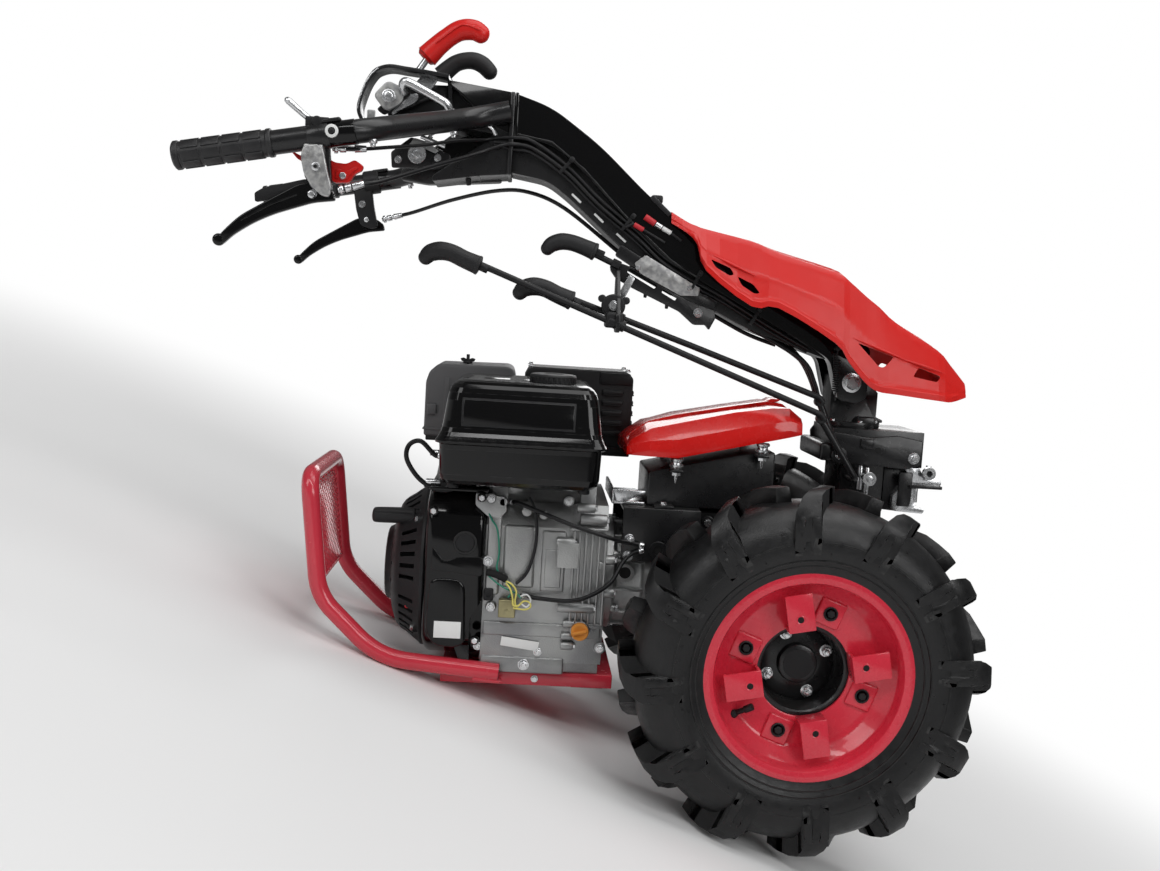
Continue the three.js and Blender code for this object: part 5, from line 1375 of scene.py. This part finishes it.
def hood():
    """A thin moulded shell with a raised spine, creased flanks, a rolled lower lip and side vents."""
    sheet = 2.6
    loops = []
    for x, top, ridge, low, ridge_half, low_half in flowed(HOOD_STATIONS):
        fall = ridge - low
        lip = min(9.0, 0.22 * fall)
        belly = ridge_half + 0.66 * (low_half - ridge_half)
        spine = 0.62 * ridge_half
        outer = [(spine - 4, top), (spine, top - 0.4), (spine + 5, ridge + 0.55 * (top - ridge)),
                 (ridge_half - 2, ridge + 1), (ridge_half + 1, ridge - 2.2), (belly, ridge - 0.52 * fall),
                 (belly + 0.4, ridge - 0.56 * fall), (low_half - 2.2, low + lip + 1.6),
                 (low_half - 0.4, low + lip - 1), (low_half, low)]
        flank, skirt = ([tuple(Vector(a).lerp(Vector(b), k / 5)) for k in range(1, 5)] for a,
                        b in (outer[4:6], outer[6:8]))
        outer = outer[:5] + flank + outer[5:7] + skirt + outer[7:]
        inner = [(low_half - sheet, low), (low_half - sheet - 1.6, low + lip),
                 (belly - sheet, ridge - 0.54 * fall), (ridge_half - sheet, ridge - sheet),
                 (spine, top - sheet - 0.6)]
        half = outer + inner
        loops.append([Vector((x, -y, z)) for y, z in reversed(outer)] + [Vector((x, y, z)) for y, z in half]
                     + [Vector((x, -y, z)) for y, z in reversed(inner)])
    shell = lofted(loops)
    cutters = []
    for side in (NEAR, FAR):
        for outline in ([
                (-138, 541), (-109, 530), (-104, 521), (-110, 519), (-131, 530)],
                [(-99, 519), (-76, 509), (-66, 497), (-74, 496), (-93, 507)],
                [(79, 436), (134, 419), (120, 403), (112, 404)],
                [(172, 406), (207, 395), (202, 386.5), (164, 392.5)]):
            cutters.append(plate(eased(outline, 3.5), *sorted((side * 122, side * 70)), edge=0))
    cover = Piece("column_hood", "handlebar", "hood", angle=30)
    cover.add(carved(shell, *cutters), RED_PLASTIC)
    x, top, ridge, low, ridge_half, low_half = HOOD_STATIONS[-1]
    tail = [(-low_half + 0.6, low + 0.4), (-ridge_half + 0.6, ridge - 0.6), (-30, top - 0.6), (30, top - 0.6),
            (ridge_half - 0.6, ridge - 0.6), (low_half - 0.6, low + 0.4)]
    cover.add(cross_plate(tail, x - 3.4, x - 0.5, edge=0.6))
    for side in (NEAR, FAR):
        for (x0, z0, y0), (x1, z1, y1) in (
                ((-141, 549, 87), (-74, 521, 97)), ((70, 443, 99.5), (150, 416, 96)),
                ((150, 416, 96), (212, 400, 88))):
            rib = tube([(x0, side * y0, z0), ((x0 + x1) / 2, side * ((y0 + y1) / 2 + 0.6), (z0 + z1) / 2),
                        (x1, side * y1, z1)], [0.6, 2.2, 0.6], sides=10)
            cover.add(rib)
    cover.done()


# ---------- beam and yoke ----------
def band(path, y0, y1, thick, edge=0.5):
    """A strip of sheet that follows a path in X and Z."""
    path = [Vector((x, z)) for x, z in path]
    near, far = [], []
    for i, here in enumerate(path):
        way = (path[min(i + 1, len(path) - 1)] - path[max(i - 1, 0)]).normalized()
        out = Vector((-way.y, way.x)) * thick / 2
        near.append(tuple(here + out))
        far.append(tuple(here - out))
    return plate(near + far[::-1], y0, y1, edge=edge, segments=2)


def curve_xz(corners, steps=5):
    return [(p.x, p.z) for p in flowing([(x, 0, z) for x, z in corners], steps)]


def tie(piece, at, way, reach, y, finish_name):
    """A cable tie whose band lies on the near face, with its lock and its cut tail."""
    turn = Matrix.Translation((at[0], 0, at[1])) @ Matrix.Rotation(-math.atan2(way[1], way[0]), 4, "Y")
    piece.add(block(-2.2, 2.2, y - 1.4, y + 5, -reach, reach, edge=0.6), finish_name, turn)
    piece.add(block(-3.4, 3.4, y - 5, y, reach - 8, reach - 1, edge=1.0), finish_name, turn)
    piece.add(block(-1.5, 1.5, y - 9, y - 4, reach - 5, reach - 3.6, edge=0.3), finish_name, turn)


def beam():
    upper = plate(
        eased([(-424.7, 757, 1), (-372, 741, 24), (-301, 693, 30), (-225, 625, 30), (-164, 580, 20),
        (-40, 520, 20), (40, 482, 12), (112, 428, 6), (112, 355, 5), (98, 347, 4), (70, 351, 6),
        (54, 408, 10), (20, 428, 10), (-60, 468, 20), (-190, 535, 20), (-262, 596, 30), (-322, 655, 30),
        (-368, 690, 24), (-424.7, 698, 1)], steps=5), -50, 50, edge=4.5, segments=4)
    upper = carved(upper, block(30, 160, -26.5, 26.5, 317, 415, edge=0))
    lower = plate(
        eased([(-424.7, 720, 1), (-310, 680, 20), (-200, 570, 20), (40, 450, 6), (54, 408, 4), (-67, 446, 20),
        (-203, 509, 20), (-264, 555, 24), (-340, 618, 26), (-372, 640, 16), (-424.7, 648, 1)], steps=5), -36,
        36, edge=3, segments=3)
    box = Piece("box_beam", "handlebar", "beam", angle=36)
    box.add(upper, GLOSS)
    box.add(lower, PAINT)
    box.add(band([(-420, 700.5), (-370, 693), (-322, 658), (-262, 599), (-190, 538), (-150, 516)], -51.2,
                 51.2, 3.2, edge=1.2))
    box.add(block(-424.7, -419.5, -51.5, 51.5, 698, 758.5, edge=1.6))
    box.add(pin(88, 377, -56, 56, 9.6, sides=36, edge=1), ZINC)
    for side in (NEAR, FAR):
        box.add(pin(88, 377, side * 50, side * 53, 14.5, sides=40, edge=0.8), ZINC)
        box.add(hexagon((88, side * 53, 377), (88, side * 60, 377), 10.5, edge=1), ZINC)
        box.add(plate(eased([(56, 420), (112, 398), (112, 356), (97, 347), (70, 351)], 5),
                      *sorted((side * 49, side * 51.6)), edge=0.8), PAINT)
    box.add(block(-220, -203, -22, 22, 620, 632, edge=3), SATIN)
    box.add(block(-232, -196, -53, 53, -3, 4, edge=1.2), SATIN, turned(41, "Y", (-209, 0, 613))
            @ Matrix.Translation((214, 0, 0)))
    for lift, out, wide in ((5.5, 45.5, 2.6), (-4.0, 46.5, 2.4), (-10.5, 42.5, 2.2)):
        run = [(-452, -49, 690 + lift * 0.6), (-424, -out - 5, 690 + lift), (-396, -out - 4, 686 + lift),
               (-346, -out, 656 + lift), (-297, -out, 613 + lift), (-240, -out, 571 + lift),
               (-190, -out, 531 + lift), (-110, -out, 494 + lift), (-40, -out, 456 + lift),
               (20, -out, 424 + lift * 0.6)]
        box.add(tube(flowing(run, 7), wide, sides=12), SHEATH)
    for at, way in (((-347, 662), (44, -38)), ((-254, 588), (57, -42)), ((-150, 512), (80, -37)),
                    ((-60, 466), (70, -38))):
        tie(box, at, way, 15, -50.5, SATIN)
    # Small white pads on the lower band's near face are painted glints along its edge.
    for at, way in (((-330, 618), (50, -42)), ((-296, 592), (57, -50)), ((-262, 566), (57, -46)),
                    ((-178, 520), (57, -40))):
        turn = Matrix.Translation((at[0], 0, at[1])) @ Matrix.Rotation(-math.atan2(way[1], way[0]), 4, "Y")
        box.add(block(-9, 9, -37.6, -35, -1.6, 1.6, edge=0.5), WIRE_WHITE, turn)
    for a, b, wide, colour in (
            ((-246, 585), (-232, 578), 3.6, WIRE_RED), ((-231, 597), (-216, 588), 4.6, WIRE_RED),
            ((-215, 587.5), (-206, 583), 4.0, ZINC), ((-205, 582.5), (-192, 576), 3.4, WIRE_WHITE),
            ((-258, 580), (-247, 586), 2.2, SHEATH), ((-232, 578), (-200, 562), 2.0, SHEATH),
            ((-192, 576), (-176, 566), 2.2, SHEATH)):
        box.add(bar((a[0], -53, a[1]), (b[0], -53, b[1]), wide, sides=16, edge=0.5), colour)
    for y, start, wide in ((-22, -60, 4.2), (-12, -48, 3.6), (-30, -66, 3.0)):
        box.add(tube(flowing(
            [(start, y, 448), (start + 42, y - 3, 428), (20, y - 8, 402), (36, y - 10, 374),
            (44, y - 10, 352)], 7), wide, sides=14), SHEATH)
    box.add(tube([(62, -57, 424), (62.3, -57, 410)], 1.2, sides=8), SHEATH)
    box.add(helix((63.5, -57, 362), (62.3, -57, 411), 4.4, 15, 0.9), SATIN)
    box.add(tube([(63.5, -57, 362), (64, -57, 350)], 1.2, sides=8), SATIN)
    box.add(pin(62, 426, -60, -46, 3.6, edge=0.5), SATIN)
    box.done()


def yoke():
    fork = Piece("beam_yoke", "handlebar", "yoke", angle=36)
    shape = plate(
        eased([(-522, 768, 3), (-430, 757, 2), (-425, 757, 1), (-425, 645, 1), (-470, 640, 8), (-537, 628, 4),
        (-537, 636, 3), (-448, 699, 12), (-516, 708, 4)]), -45, 45, edge=2.4, segments=3)
    pockets = [plate(
        eased([(-516, 762), (-511, 712), (-456, 716)], 4), *sorted((side * 60, side * 22)),
        edge=0) for side in (NEAR, FAR)]
    fork.add(carved(shape, *pockets), PAINT)
    for side in (NEAR, FAR):
        fork.add(plate(eased([(-523.5, 770), (-430, 759), (-430, 700), (-453, 709)], 3),
                       *sorted((side * 44, side * 46.6)), edge=0.8), GLOSS)
    fork.add(plate(
        eased([(-548, 630), (-588, 634), (-588, 650), (-530, 690), (-470, 714), (-440, 704), (-440, 640),
        (-500, 634)], 4), 22, 44, edge=2))
    fork.add(block(-431.5, -425.2, -51, 51, 643.5, 759, edge=1.6))
    fork.add(block(-520, -470, -44, 44, 639, 642, edge=0.8))
    fork.add(bar((-488, -18, 642), (-486, -18, 628), 4.8, 3.2, sides=20, edge=0.8), SATIN)
    fork.add(pin(-452, 690, -47, -42, 7, edge=0.8), SATIN)
    fork.add(plate(
        eased([(-599, 667), (-571, 690), (-541, 680), (-514, 668), (-514, 648), (-574, 646), (-597, 645)], 3),
        -27, -23, edge=0.8))
    fork.add(pin(-560, 664, -42, -20, 7.4, sides=30, edge=0.8), ZINC)
    fork.add(ring((-560, -42, 664), NEARWARD, 7.2, 12.8, 3.6), ZINC)
    fork.add(hexagon((-560, -46, 664), (-560, -42, 664), 4.4, edge=0.5), ZINC)
    fork.add(tube([(-556, -38, 690), (-521, -40, 678)], 3.0, sides=16), ZINC)
    fork.add(tube([(-542, -36, 692), (-552, -36, 676), (-560, -36, 668)], 3.4, sides=16), CAST)
    fork.add(plate(eased([(-575, 674), (-566, 688), (-548, 684), (-530, 672), (-535, 668), (-556, 676)], 2),
                   -36, -32, edge=0.8), CAST)
    fork.add(plate(eased([(-523, 702), (-520, 706), (-541, 695), (-543, 690)], 1), -44, -40, edge=0.6), CAST)
    bolt(fork, (-588, -27, 657), NEARWARD, 4.6)
    bolt(fork, (-532, -27, 663), NEARWARD, 4.6)
    fork.done()


# ---------- handle tubes, grips and hand levers ----------
HALF_SPAN = 257
HANDLE_SLOPE = math.atan2(46, 229)


def on_handle(side, x):
    """Places a piece shaped along X, with its origin on the tube's centre line at the given x."""
    height = 616 + (x + 834) * math.tan(HANDLE_SLOPE)
    return Matrix.Translation((x, side * HALF_SPAN, height)) @ Matrix.Rotation(-HANDLE_SLOPE, 4, "Y")


def handle_tubes():
    for name, side in SIDES:
        path = bent([(-834, side * HALF_SPAN, 616), (-605, side * HALF_SPAN, 662), (-486, side * 60.3, 716),
                     (-431, side * 60.3, 730)], 40, 14)
        steel = Piece(f"handle_tube_{name}_bar", "handlebar", f"handle_tube_{name}", angle=50)
        steel.add(tube(path, 15, sides=40), PAINT)
        steel.add(bar((-2, 0, 0), (40, 0, 0), 15.8, sides=40, edge=0.6), GLOSS, on_handle(side, -655))
        steel.add(block(-2, 24, -10, 10, 14, 19, edge=1.6), PAINT, on_handle(side, -655))
        middle = on_handle(side, -643)
        steel.add(ring((0, side * 15.6, 2), (0, side, 0), 4.6, 8.2, 2.2), WIRE_WHITE, middle)
        steel.add(hexagon((0, side * 14, 2), (0, side * 18.4, 2), 4.2, edge=0.5), SATIN, middle)
        for x, y, z in ((-596, 246, 667), (-506, 95, 706)):
            steel.add(bar((x, side * y, z - 13), (x, side * y, z - 19), 5.4, sides=20, edge=1.6), ZINC)
            steel.add(bar((x, side * y, z - 18.5), (x, side * y, z - 23), 3.4, sides=16, edge=1.2), ZINC)
        steel.done()


def grips():
    for name, side in SIDES:
        place = on_handle(side, -834)
        sleeve = Piece(f"grip_{name}_sleeve", "handlebar", f"grip_{name}", angle=34)
        sleeve.add(spun(
            [(0, -4), (14, -4), (16.4, -2.6), (18, -1), (18, 3.4), (17.4, 4.6), (16.5, 5), (16.5, 112),
            (17.2, 112.8), (17.8, 114), (17.8, 118), (17.2, 119), (15.6, 119.2), (15.3, 118), (15.3, -0.3),
            (0, -0.3)], axis="X", steps=48), GRIP, place)
        for row in range(8):
            turn = place @ turned(45 * row + 10, "X")
            for i in range(4):
                start = 8.5 + 25.5 * i
                sleeve.add(block(start, start + 22, -5.2, 5.2, 14.2, 17.7, edge=0.9), GRIP, turn)
        sleeve.add(ring((-4.2, 0, 0), (-1, 0, 0), 5, 9, 0.8), GRIP, place)
        sleeve.done()


def clamps():
    near = Piece("lever_clamp_left_shape", "handlebar", "lever_clamp_left", angle=34)
    near.add(spun([(15.3, -12), (16, -13), (16.5, -12), (16.5, 12), (16, 13), (15.3, 12), (15.3, -12)],
                  axis="X", steps=40), PAINT, on_handle(NEAR, -661))
    near.add(plate(eased([(-678, 602), (-678, 630), (-648, 640), (-643, 586), (-652, 575), (-664, 579)], 3),
                   -257, -246, edge=2))
    near.add(plate(
        eased([(-679, 634), (-673, 638), (-660, 640), (-653, 635), (-647, 609), (-641, 589), (-643, 576),
        (-652, 577), (-666, 587), (-676, 604), (-680, 621)], 4), -273, -267.6, edge=2.0, segments=3),
        GALVANISED)
    near.add(block(-678, -653, -272, -247, 627, 640, edge=3, segments=3), GALVANISED)
    near.add(pin(-661, 612, -272, -276.4, 5.8, 5.2, sides=28, edge=1.4), ZINC)
    # A near-black hexagon on the knob's end is painted shade in its socket.
    near.add(pin(-661, 612, -276, -277.8, 2.4, sides=6), DARK)
    near.add(pin(-665, 578, -266, -276, 4.6, sides=24, edge=1.2), ZINC)
    near.done()
    far = Piece("lever_clamp_right_shape", "handlebar", "lever_clamp_right", angle=34)
    far.add(spun([(15.3, -12), (17, -13), (19.4, -11), (19.4, 11), (17, 13), (15.3, 12), (15.3, -12)],
                 axis="X", steps=40), SATIN, on_handle(FAR, -661))
    far.add(plate(
        eased([(-689, 634), (-660, 644), (-655, 612), (-647, 577), (-660, 574), (-676, 579), (-684, 604)], 4),
        244.6, 257, edge=2.4, segments=3))
    bolt(far, (-674, 244.8, 613), NEARWARD, 5.0)
    far.add(pin(-666, 588, 243.6, 257, 4.2, edge=1), ZINC)
    far.done()


def hand_levers():
    for name, node, side in (("clutch", "clutch_lever", NEAR), ("brake", "brake_lever", FAR)):
        lever = Piece(f"{node}_shape", "handlebar", node, angle=34)
        y0, y1 = sorted((side * 257.3, side * 267))
        blade = eased(
            [(-782, 517, 3), (-770, 531, 12), (-753, 548, 12), (-724, 566, 14), (-684, 590, 8),
            (-672, 593, 6), (-650, 591, 6), (-639, 583, 3), (-637, 573, 3), (-664, 569, 8), (-712, 552, 16),
            (-738, 539, 14), (-761, 523, 12), (-773, 511, 3)], steps=5)
        lever.add(plate(blade, y0, y1, edge=3.4, segments=4), GLOSS)
        lever.add(pin(-778.5, 516.5, side * 256.5, side * 267.4, 7.6, sides=32, edge=3.6, segments=4))
        if side == NEAR:
            lever.add(plate(
                eased([(-737, 566), (-738, 577), (-729, 583), (-676, 598), (-655, 590), (-676, 584),
                (-712, 571)], 2.5), -257.6, -250, edge=1.4, segments=3), SATIN)
        lever.add(tube([(-752, side * 267, 541), (-716, side * 267.8, 563), (-684, side * 267.2, 577)],
                       [0.6, 1.6, 0.6], sides=10))
        bolt(lever, (-664, side * 266.6, 580), (0, side, 0), 4.4)
        lever.done()
    trigger = Piece("safety_trigger_shape", "handlebar", "safety_trigger", angle=34)
    trigger.add(plate(
        eased([(-699, 634, 1.4), (-684, 627), (-653, 628), (-643, 622), (-628, 621), (-618, 627),
        (-607, 620, 3), (-609, 614, 2), (-618, 609), (-624, 598), (-644, 597), (-651, 618), (-688, 622)], 4),
        -245, -235.5, edge=1.6, segments=3), RED_PLASTIC)
    trigger.add(plate(
        eased([(-640, 615), (-626, 612), (-618, 618), (-612, 618), (-619, 612), (-627, 602), (-641, 602)], 3),
        -247, -244, edge=0.9))
    trigger.add(pin(-632, 606, -248, -234, 4.4, edge=0.8), ZINC)
    trigger.done()
    rod = Piece("throttle_lever_shape", "handlebar", "throttle_lever", angle=40)
    rod.add(tube([(-704, -257, 694.6), (-703, -257, 693.6), (-700, -257, 691.2), (-682, -257, 677),
                  (-664, -257, 664)], [1.6, 3.4, 4.4, 3.9, 3.9], sides=24), ZINC)
    rod.add(block(-678, -648, -264, -250, 661, 674, edge=2.4, segments=3), SATIN)
    rod.add(pin(-663, 668, -268, -246, 6.5, edge=1.2), SATIN)
    rod.done()


# ---------- selector levers, rods and their guide ----------
def selector_levers():
    strap = Piece("control_bracket_shape", "handlebar", "control_bracket", angle=34)
    run = curve_xz(
        [(-516, 711.6), (-560, 707), (-626, 700), (-637, 706), (-640, 722), (-632, 749), (-624, 764),
        (-616, 772), (-600, 777), (-578, 775.4), (-552, 773), (-518, 769)], 6)
    strap.add(band(run, -78, -34, 5.0, edge=1.0), PAINT)
    strap.add(plate(
        eased([(-606, 716), (-600, 738), (-580, 762), (-515, 764), (-515, 713), (-560, 710)], 5), -36, -32,
        edge=0.8))
    # A thin zinc strip along the strap's left edge is a painted highlight on that edge.
    strap.add(band([(-641.4, 716), (-639, 732), (-632, 752), (-624, 765), (-615, 773.4)], -79.4, -76, 1.6,
                   edge=0.4), ZINC)
    strap.add(plate(eased([(-628, 702), (-617, 702), (-617, 716), (-628, 716)], 2), -79, -74, edge=0.6), CAST)
    bolt(strap, (-612, -52, 702.5), (0, 0, -1), 4.0)
    cam = plate(eased(
        [(-622, 738), (-603, 759), (-577, 749), (-583, 728), (-604, 716)], 7), -70, -63, edge=1.6, segments=3)
    strap.add(cam, GALVANISED)
    strap.add(plate(
        eased([(-618, 720), (-606, 712), (-570, 744), (-578, 754)], 5), -63, -57, edge=1.4), SATIN)
    strap.add(plate(
        eased([(-594, 722), (-577, 744), (-560, 746), (-561, 735), (-580, 724), (-598, 714)], 5), -60, -52,
        edge=1.6, segments=3), ZINC)
    strap.add(pin(-600, 737, -78.5, -50, 6.0, sides=28, edge=1.6), ZINC)
    strap.add(pin(-600, 737, -76, -70, 9.4, sides=32, edge=0.8), ZINC)
    strap.add(plate(eased(
        [(-566, 764), (-557, 773), (-534, 772), (-543, 755), (-553, 751)], 4), -48, -42, edge=1.2), ZINC)
    strap.add(tube(
        flowing([(-580, -66, 744), (-581, -74, 752), (-578, -78, 757), (-569, -79, 754.5), (-551, -79, 746.5),
        (-528, -79, 735.5), (-519, -78, 730), (-515, -73, 722)], 6), 6.2, sides=24), ZINC)
    strap.add(tube(
        flowing([(-516, -66, 726), (-509, -64, 724.5), (-488, -60, 717.6), (-467, -56, 711), (-456, -53, 706),
        (-450, -49, 698)], 6), 2.7, sides=14), ZINC)
    strap.add(block(-588, -566, -58, -36, 704, 716, edge=2), SATIN)
    strap.add(tube(flowing(
        [(-590, -52, 724), (-570, -50, 730), (-548, -46, 742), (-524, -44, 748)], 5), 3.4, sides=16), SATIN)
    strap.done()
    red = Piece("reverser_lever_shape", "handlebar", "reverser_lever", angle=40)
    red.add(pistol_knob(
        [(-478, 837), (-487, 841.5), (-499, 842), (-511, 838.5), (-524, 829.5), (-538, 817), (-553, 801)],
        -39, [11.6, 12.6, 13.0, 12.6, 12.2, 12.8, 14.4], 1.12), RED_PLASTIC)
    red.add(tube([(-553.5, -39, 800.5), (-556, -39, 797.6)], [14.6, 11.5], sides=28))
    red.add(tube(flowing(
        [(-480, -52, 840), (-499, -52.6, 845), (-512, -52.4, 841), (-540, -52.8, 818)], 6), 0.9, sides=8))
    red.add(tube([(-568, -39, 774.3), (-546, -39, 808)], 4.8, sides=22), ZINC)
    red.add(hexagon((-568.6, -39, 774.6), (-564.5, -39, 781), 8.2, 6.4, edge=0.8), ZINC)
    red.done()
    black = Piece("lock_lever_shape", "handlebar", "lock_lever", angle=40)
    black.add(pistol_knob(
        [(-466, 799), (-476, 808), (-488, 813), (-501, 813), (-515, 808.5), (-526, 800), (-537, 789)], 29,
        [10.6, 11.4, 11.4, 11, 11, 11.6, 12.6], 1.1), PLASTIC)
    black.add(tube([(-515, 29, 770), (-532, 29, 793)], 4.4, sides=20), ZINC)
    black.done()


def rod_knob(piece, path, y, radii):
    piece.add(pistol_knob(path, y, radii, 1.08), PLASTIC)
    (x0, z0), (x1, z1) = path[-1], path[-2]
    way = Vector((x0 - x1, 0, z0 - z1)).normalized()
    foot = Vector((x0, y, z0))
    piece.add(tube([foot - way * 1.5, foot, foot + way * 3, foot + way * 4.5], [
        radii[-1] * 1.04, radii[-1] * 1.12, radii[-1] * 1.1, radii[-1] * 0.7], sides=28), PLASTIC)
    piece.add(hexagon(foot, foot + way * 16, 6.2), SATIN)


def shift_rods():
    for name, y, dx, dz, corners in (
            ("gear_rod", -105, 0, 0, [(-470, 516), (-273, 444), (34, 331), (38, 325)]),
            ("pto_rod", -80, 132, -40, [(-338, 476), (-157, 418), (36, 354), (40, 348)])):
        piece = Piece(f"{name}_shape", "handlebar", name, angle=50)
        piece.add(tube(bent([(x, y, z) for x, z in corners], 5, 6), 4.5, sides=22), SATIN)
        path = [(x + dx, z + dz) for x, z in (
            (-536, 517), (-529, 524), (-516, 527.6), (-500, 525.6), (-482, 518), (-464, 511.6))]
        rod_knob(piece, path, y, [9.6, 11.4, 12, 11.4, 11.4, 12.2])
        piece.done()


def lever_plate():
    panel = Piece("lever_plate_shape", "handlebar", "lever_plate", angle=34)
    black = plate(
        eased([(-277, 520, 5), (-270, 532, 4), (-240, 523, 3), (-170, 484, 3), (-121, 470, 3), (-119, 458, 2),
        (-127, 441, 2), (-133, 448, 2), (-150, 447, 4), (-172, 465, 4), (-243, 495, 4), (-267, 507, 4)]), -50,
        -42, edge=1.4)
    slots = [plate(eased([(-252, 517), (-247, 523), (-206, 501), (-210, 495)], 2.8), -60, -30, edge=0),
             plate(eased([(-200, 491), (-197, 496), (-176, 485), (-179, 480)], 2.2), -60, -30, edge=0)]
    panel.add(carved(black, *slots), PAINT)
    # A near-black plate behind the slots is painted shade seen through them.
    panel.add(plate(eased([(-256, 522), (-243, 529), (-178, 494), (-184, 487)], 2), -43, -38, edge=0.6), DARK)
    panel.add(plate(
        eased([(-242, 530), (-226, 543), (-144, 500), (-146, 489), (-172, 488), (-232, 516)], 3), -51.6,
        -48.8, edge=0.7), GALVANISED)
    panel.add(plate(
        eased([(-262, 556), (-160, 500), (-118, 484), (-120, 462), (-200, 500), (-270, 540)], 4), -48, -36.4,
        edge=1.2))
    bolt(panel, (-145, -50, 465), NEARWARD, 6.0, stud=2)
    bolt(panel, (-236, -51.4, 524), NEARWARD, 3.4)
    bolt(panel, (-160, -51.4, 500), NEARWARD, 3.4)
    for x, z in ((-222, 488), (-190, 474)):
        panel.add(bar((x, -47, z + 4), (x - 1, -47, z - 6), 3.4, 2.2, sides=14, edge=0.6), SATIN)
    panel.add(bar((-300, -47, 540), (-262, -47, 524), 4.6, sides=22, edge=0.6), SATIN)
    panel.add(hexagon((-274, -47, 529), (-262, -47, 524), 7.6, edge=0.8), SATIN)
    rod_knob(panel, [(-368, 543), (-361, 550), (-348, 554.6), (-332, 553.6), (-315, 548.6), (-301, 543.6)],
             -47, [9.0, 10.6, 11.2, 10.8, 10.8, 11.6])
    panel.done()
    guide = Piece("rod_support_shape", "handlebar", "rod_support", angle=34)
    guide.add(cross_plate(
        [(-50.3, 519), (-50.3, 494), (-66, 441), (-92, 430), (-117, 430), (-117, 454), (-96, 482),
        (-62, 519)], -268, -262, edge=1.2, corner=3), PAINT)
    guide.add(plate(eased([(-249, 513), (-240, 508), (-254, 478), (-264, 482)], 2), -62, -58, edge=0.6), ZINC)
    guide.add(pin(-271, 467, -99, -76, 16.5, sides=36, edge=2.4, segments=3), SATIN)
    for turn in (25, 150, 262):
        spot = Vector((math.cos(math.radians(turn)), 0, math.sin(math.radians(turn)))) * 19
        guide.add(bar(
            Vector((-271, -98, 467)) + spot, Vector((-271, -82, 467)) + spot, 5.4, sides=20, edge=1.2), SATIN)
    bolt(guide, (-271, -99, 467), NEARWARD, 6.2)
    for y, z in ((-105, 442), (-80, 451.6)):
        guide.add(bar((-278, y, z + 4.4), (-254, y, z - 3.6), 8.2, sides=28, edge=1.6), SATIN)
    guide.add(block(-282, -256, -112, -74, 436, 458, edge=4, segments=3), SATIN)
    guide.done()


def fitting(piece, a, b, wide=3.4):
    """A cable end: ferrule, adjuster nut and boot, from the lever towards the cable."""
    a, b = Vector(a), Vector(b)
    way = (b - a).normalized()
    piece.add(bar(a, b, wide, sides=20, edge=0.5), ZINC)
    piece.add(hexagon(a + way * 2, a + way * 7, wide * 1.75), ZINC)
    piece.add(bar(a + way * 9, a + way * 17, wide * 1.45, sides=20, edge=0.8), ZINC)
    piece.add(bar(b - way * 12, b + way * 3, wide * 1.5, wide * 1.2, sides=20, edge=0.8), ZINC)


def hand_cables():
    side = -39.9
    for name, points, wide in (
            ("clutch_cable", [(-634.6, -262, 586), (-622, -262, 590), (-606, -259, 596), (-585, -240, 603),
             (-530, -150, 636), (-482, -72, 664), (-440, -56, 683), (-422, -53, 686), (-398, side, 686),
             (-372, side, 680), (-326, side, 646), (-266, side, 587), (-190, side, 530), (-118, side, 493),
             (-60, side, 463), (-14, side, 440)], 3.0),
            ("brake_cable", [(-642, 262, 591), (-631, 262, 594), (-611, 260, 600), (-585, 238, 606),
             (-520, 160, 622), (-450, 84, 633), (-400, 30, 629), (-345, 0, 606), (-264, -10, 548),
             (-203, -10, 503), (-130, -10, 470), (-67, -10, 440), (-20, -10, 425)], 3.0),
            ("throttle_cable", [(-647, -241, 639), (-630, -240, 640), (-608, -236, 642), (-576, -196, 652),
             (-540, -146, 664), (-506, -96, 679), (-480, -66, 686), (-464, -50, 690), (-448, -47.6, 694)],
             2.4)):
        line = Piece(f"{name}_line", "handlebar", name, angle=60)
        line.add(tube(flowing(points, 8), wide, sides=16), SHEATH)
        fitting(line, points[0], points[2])
        line.done()


def handlebar():
    beam()
    yoke()
    hood()
    handle_tubes()
    grips()
    clamps()
    hand_levers()
    selector_levers()
    shift_rods()
    lever_plate()
    hand_cables()


camera()
studio()
floor()
wheels()
housings()
column()
engine()
handlebar()
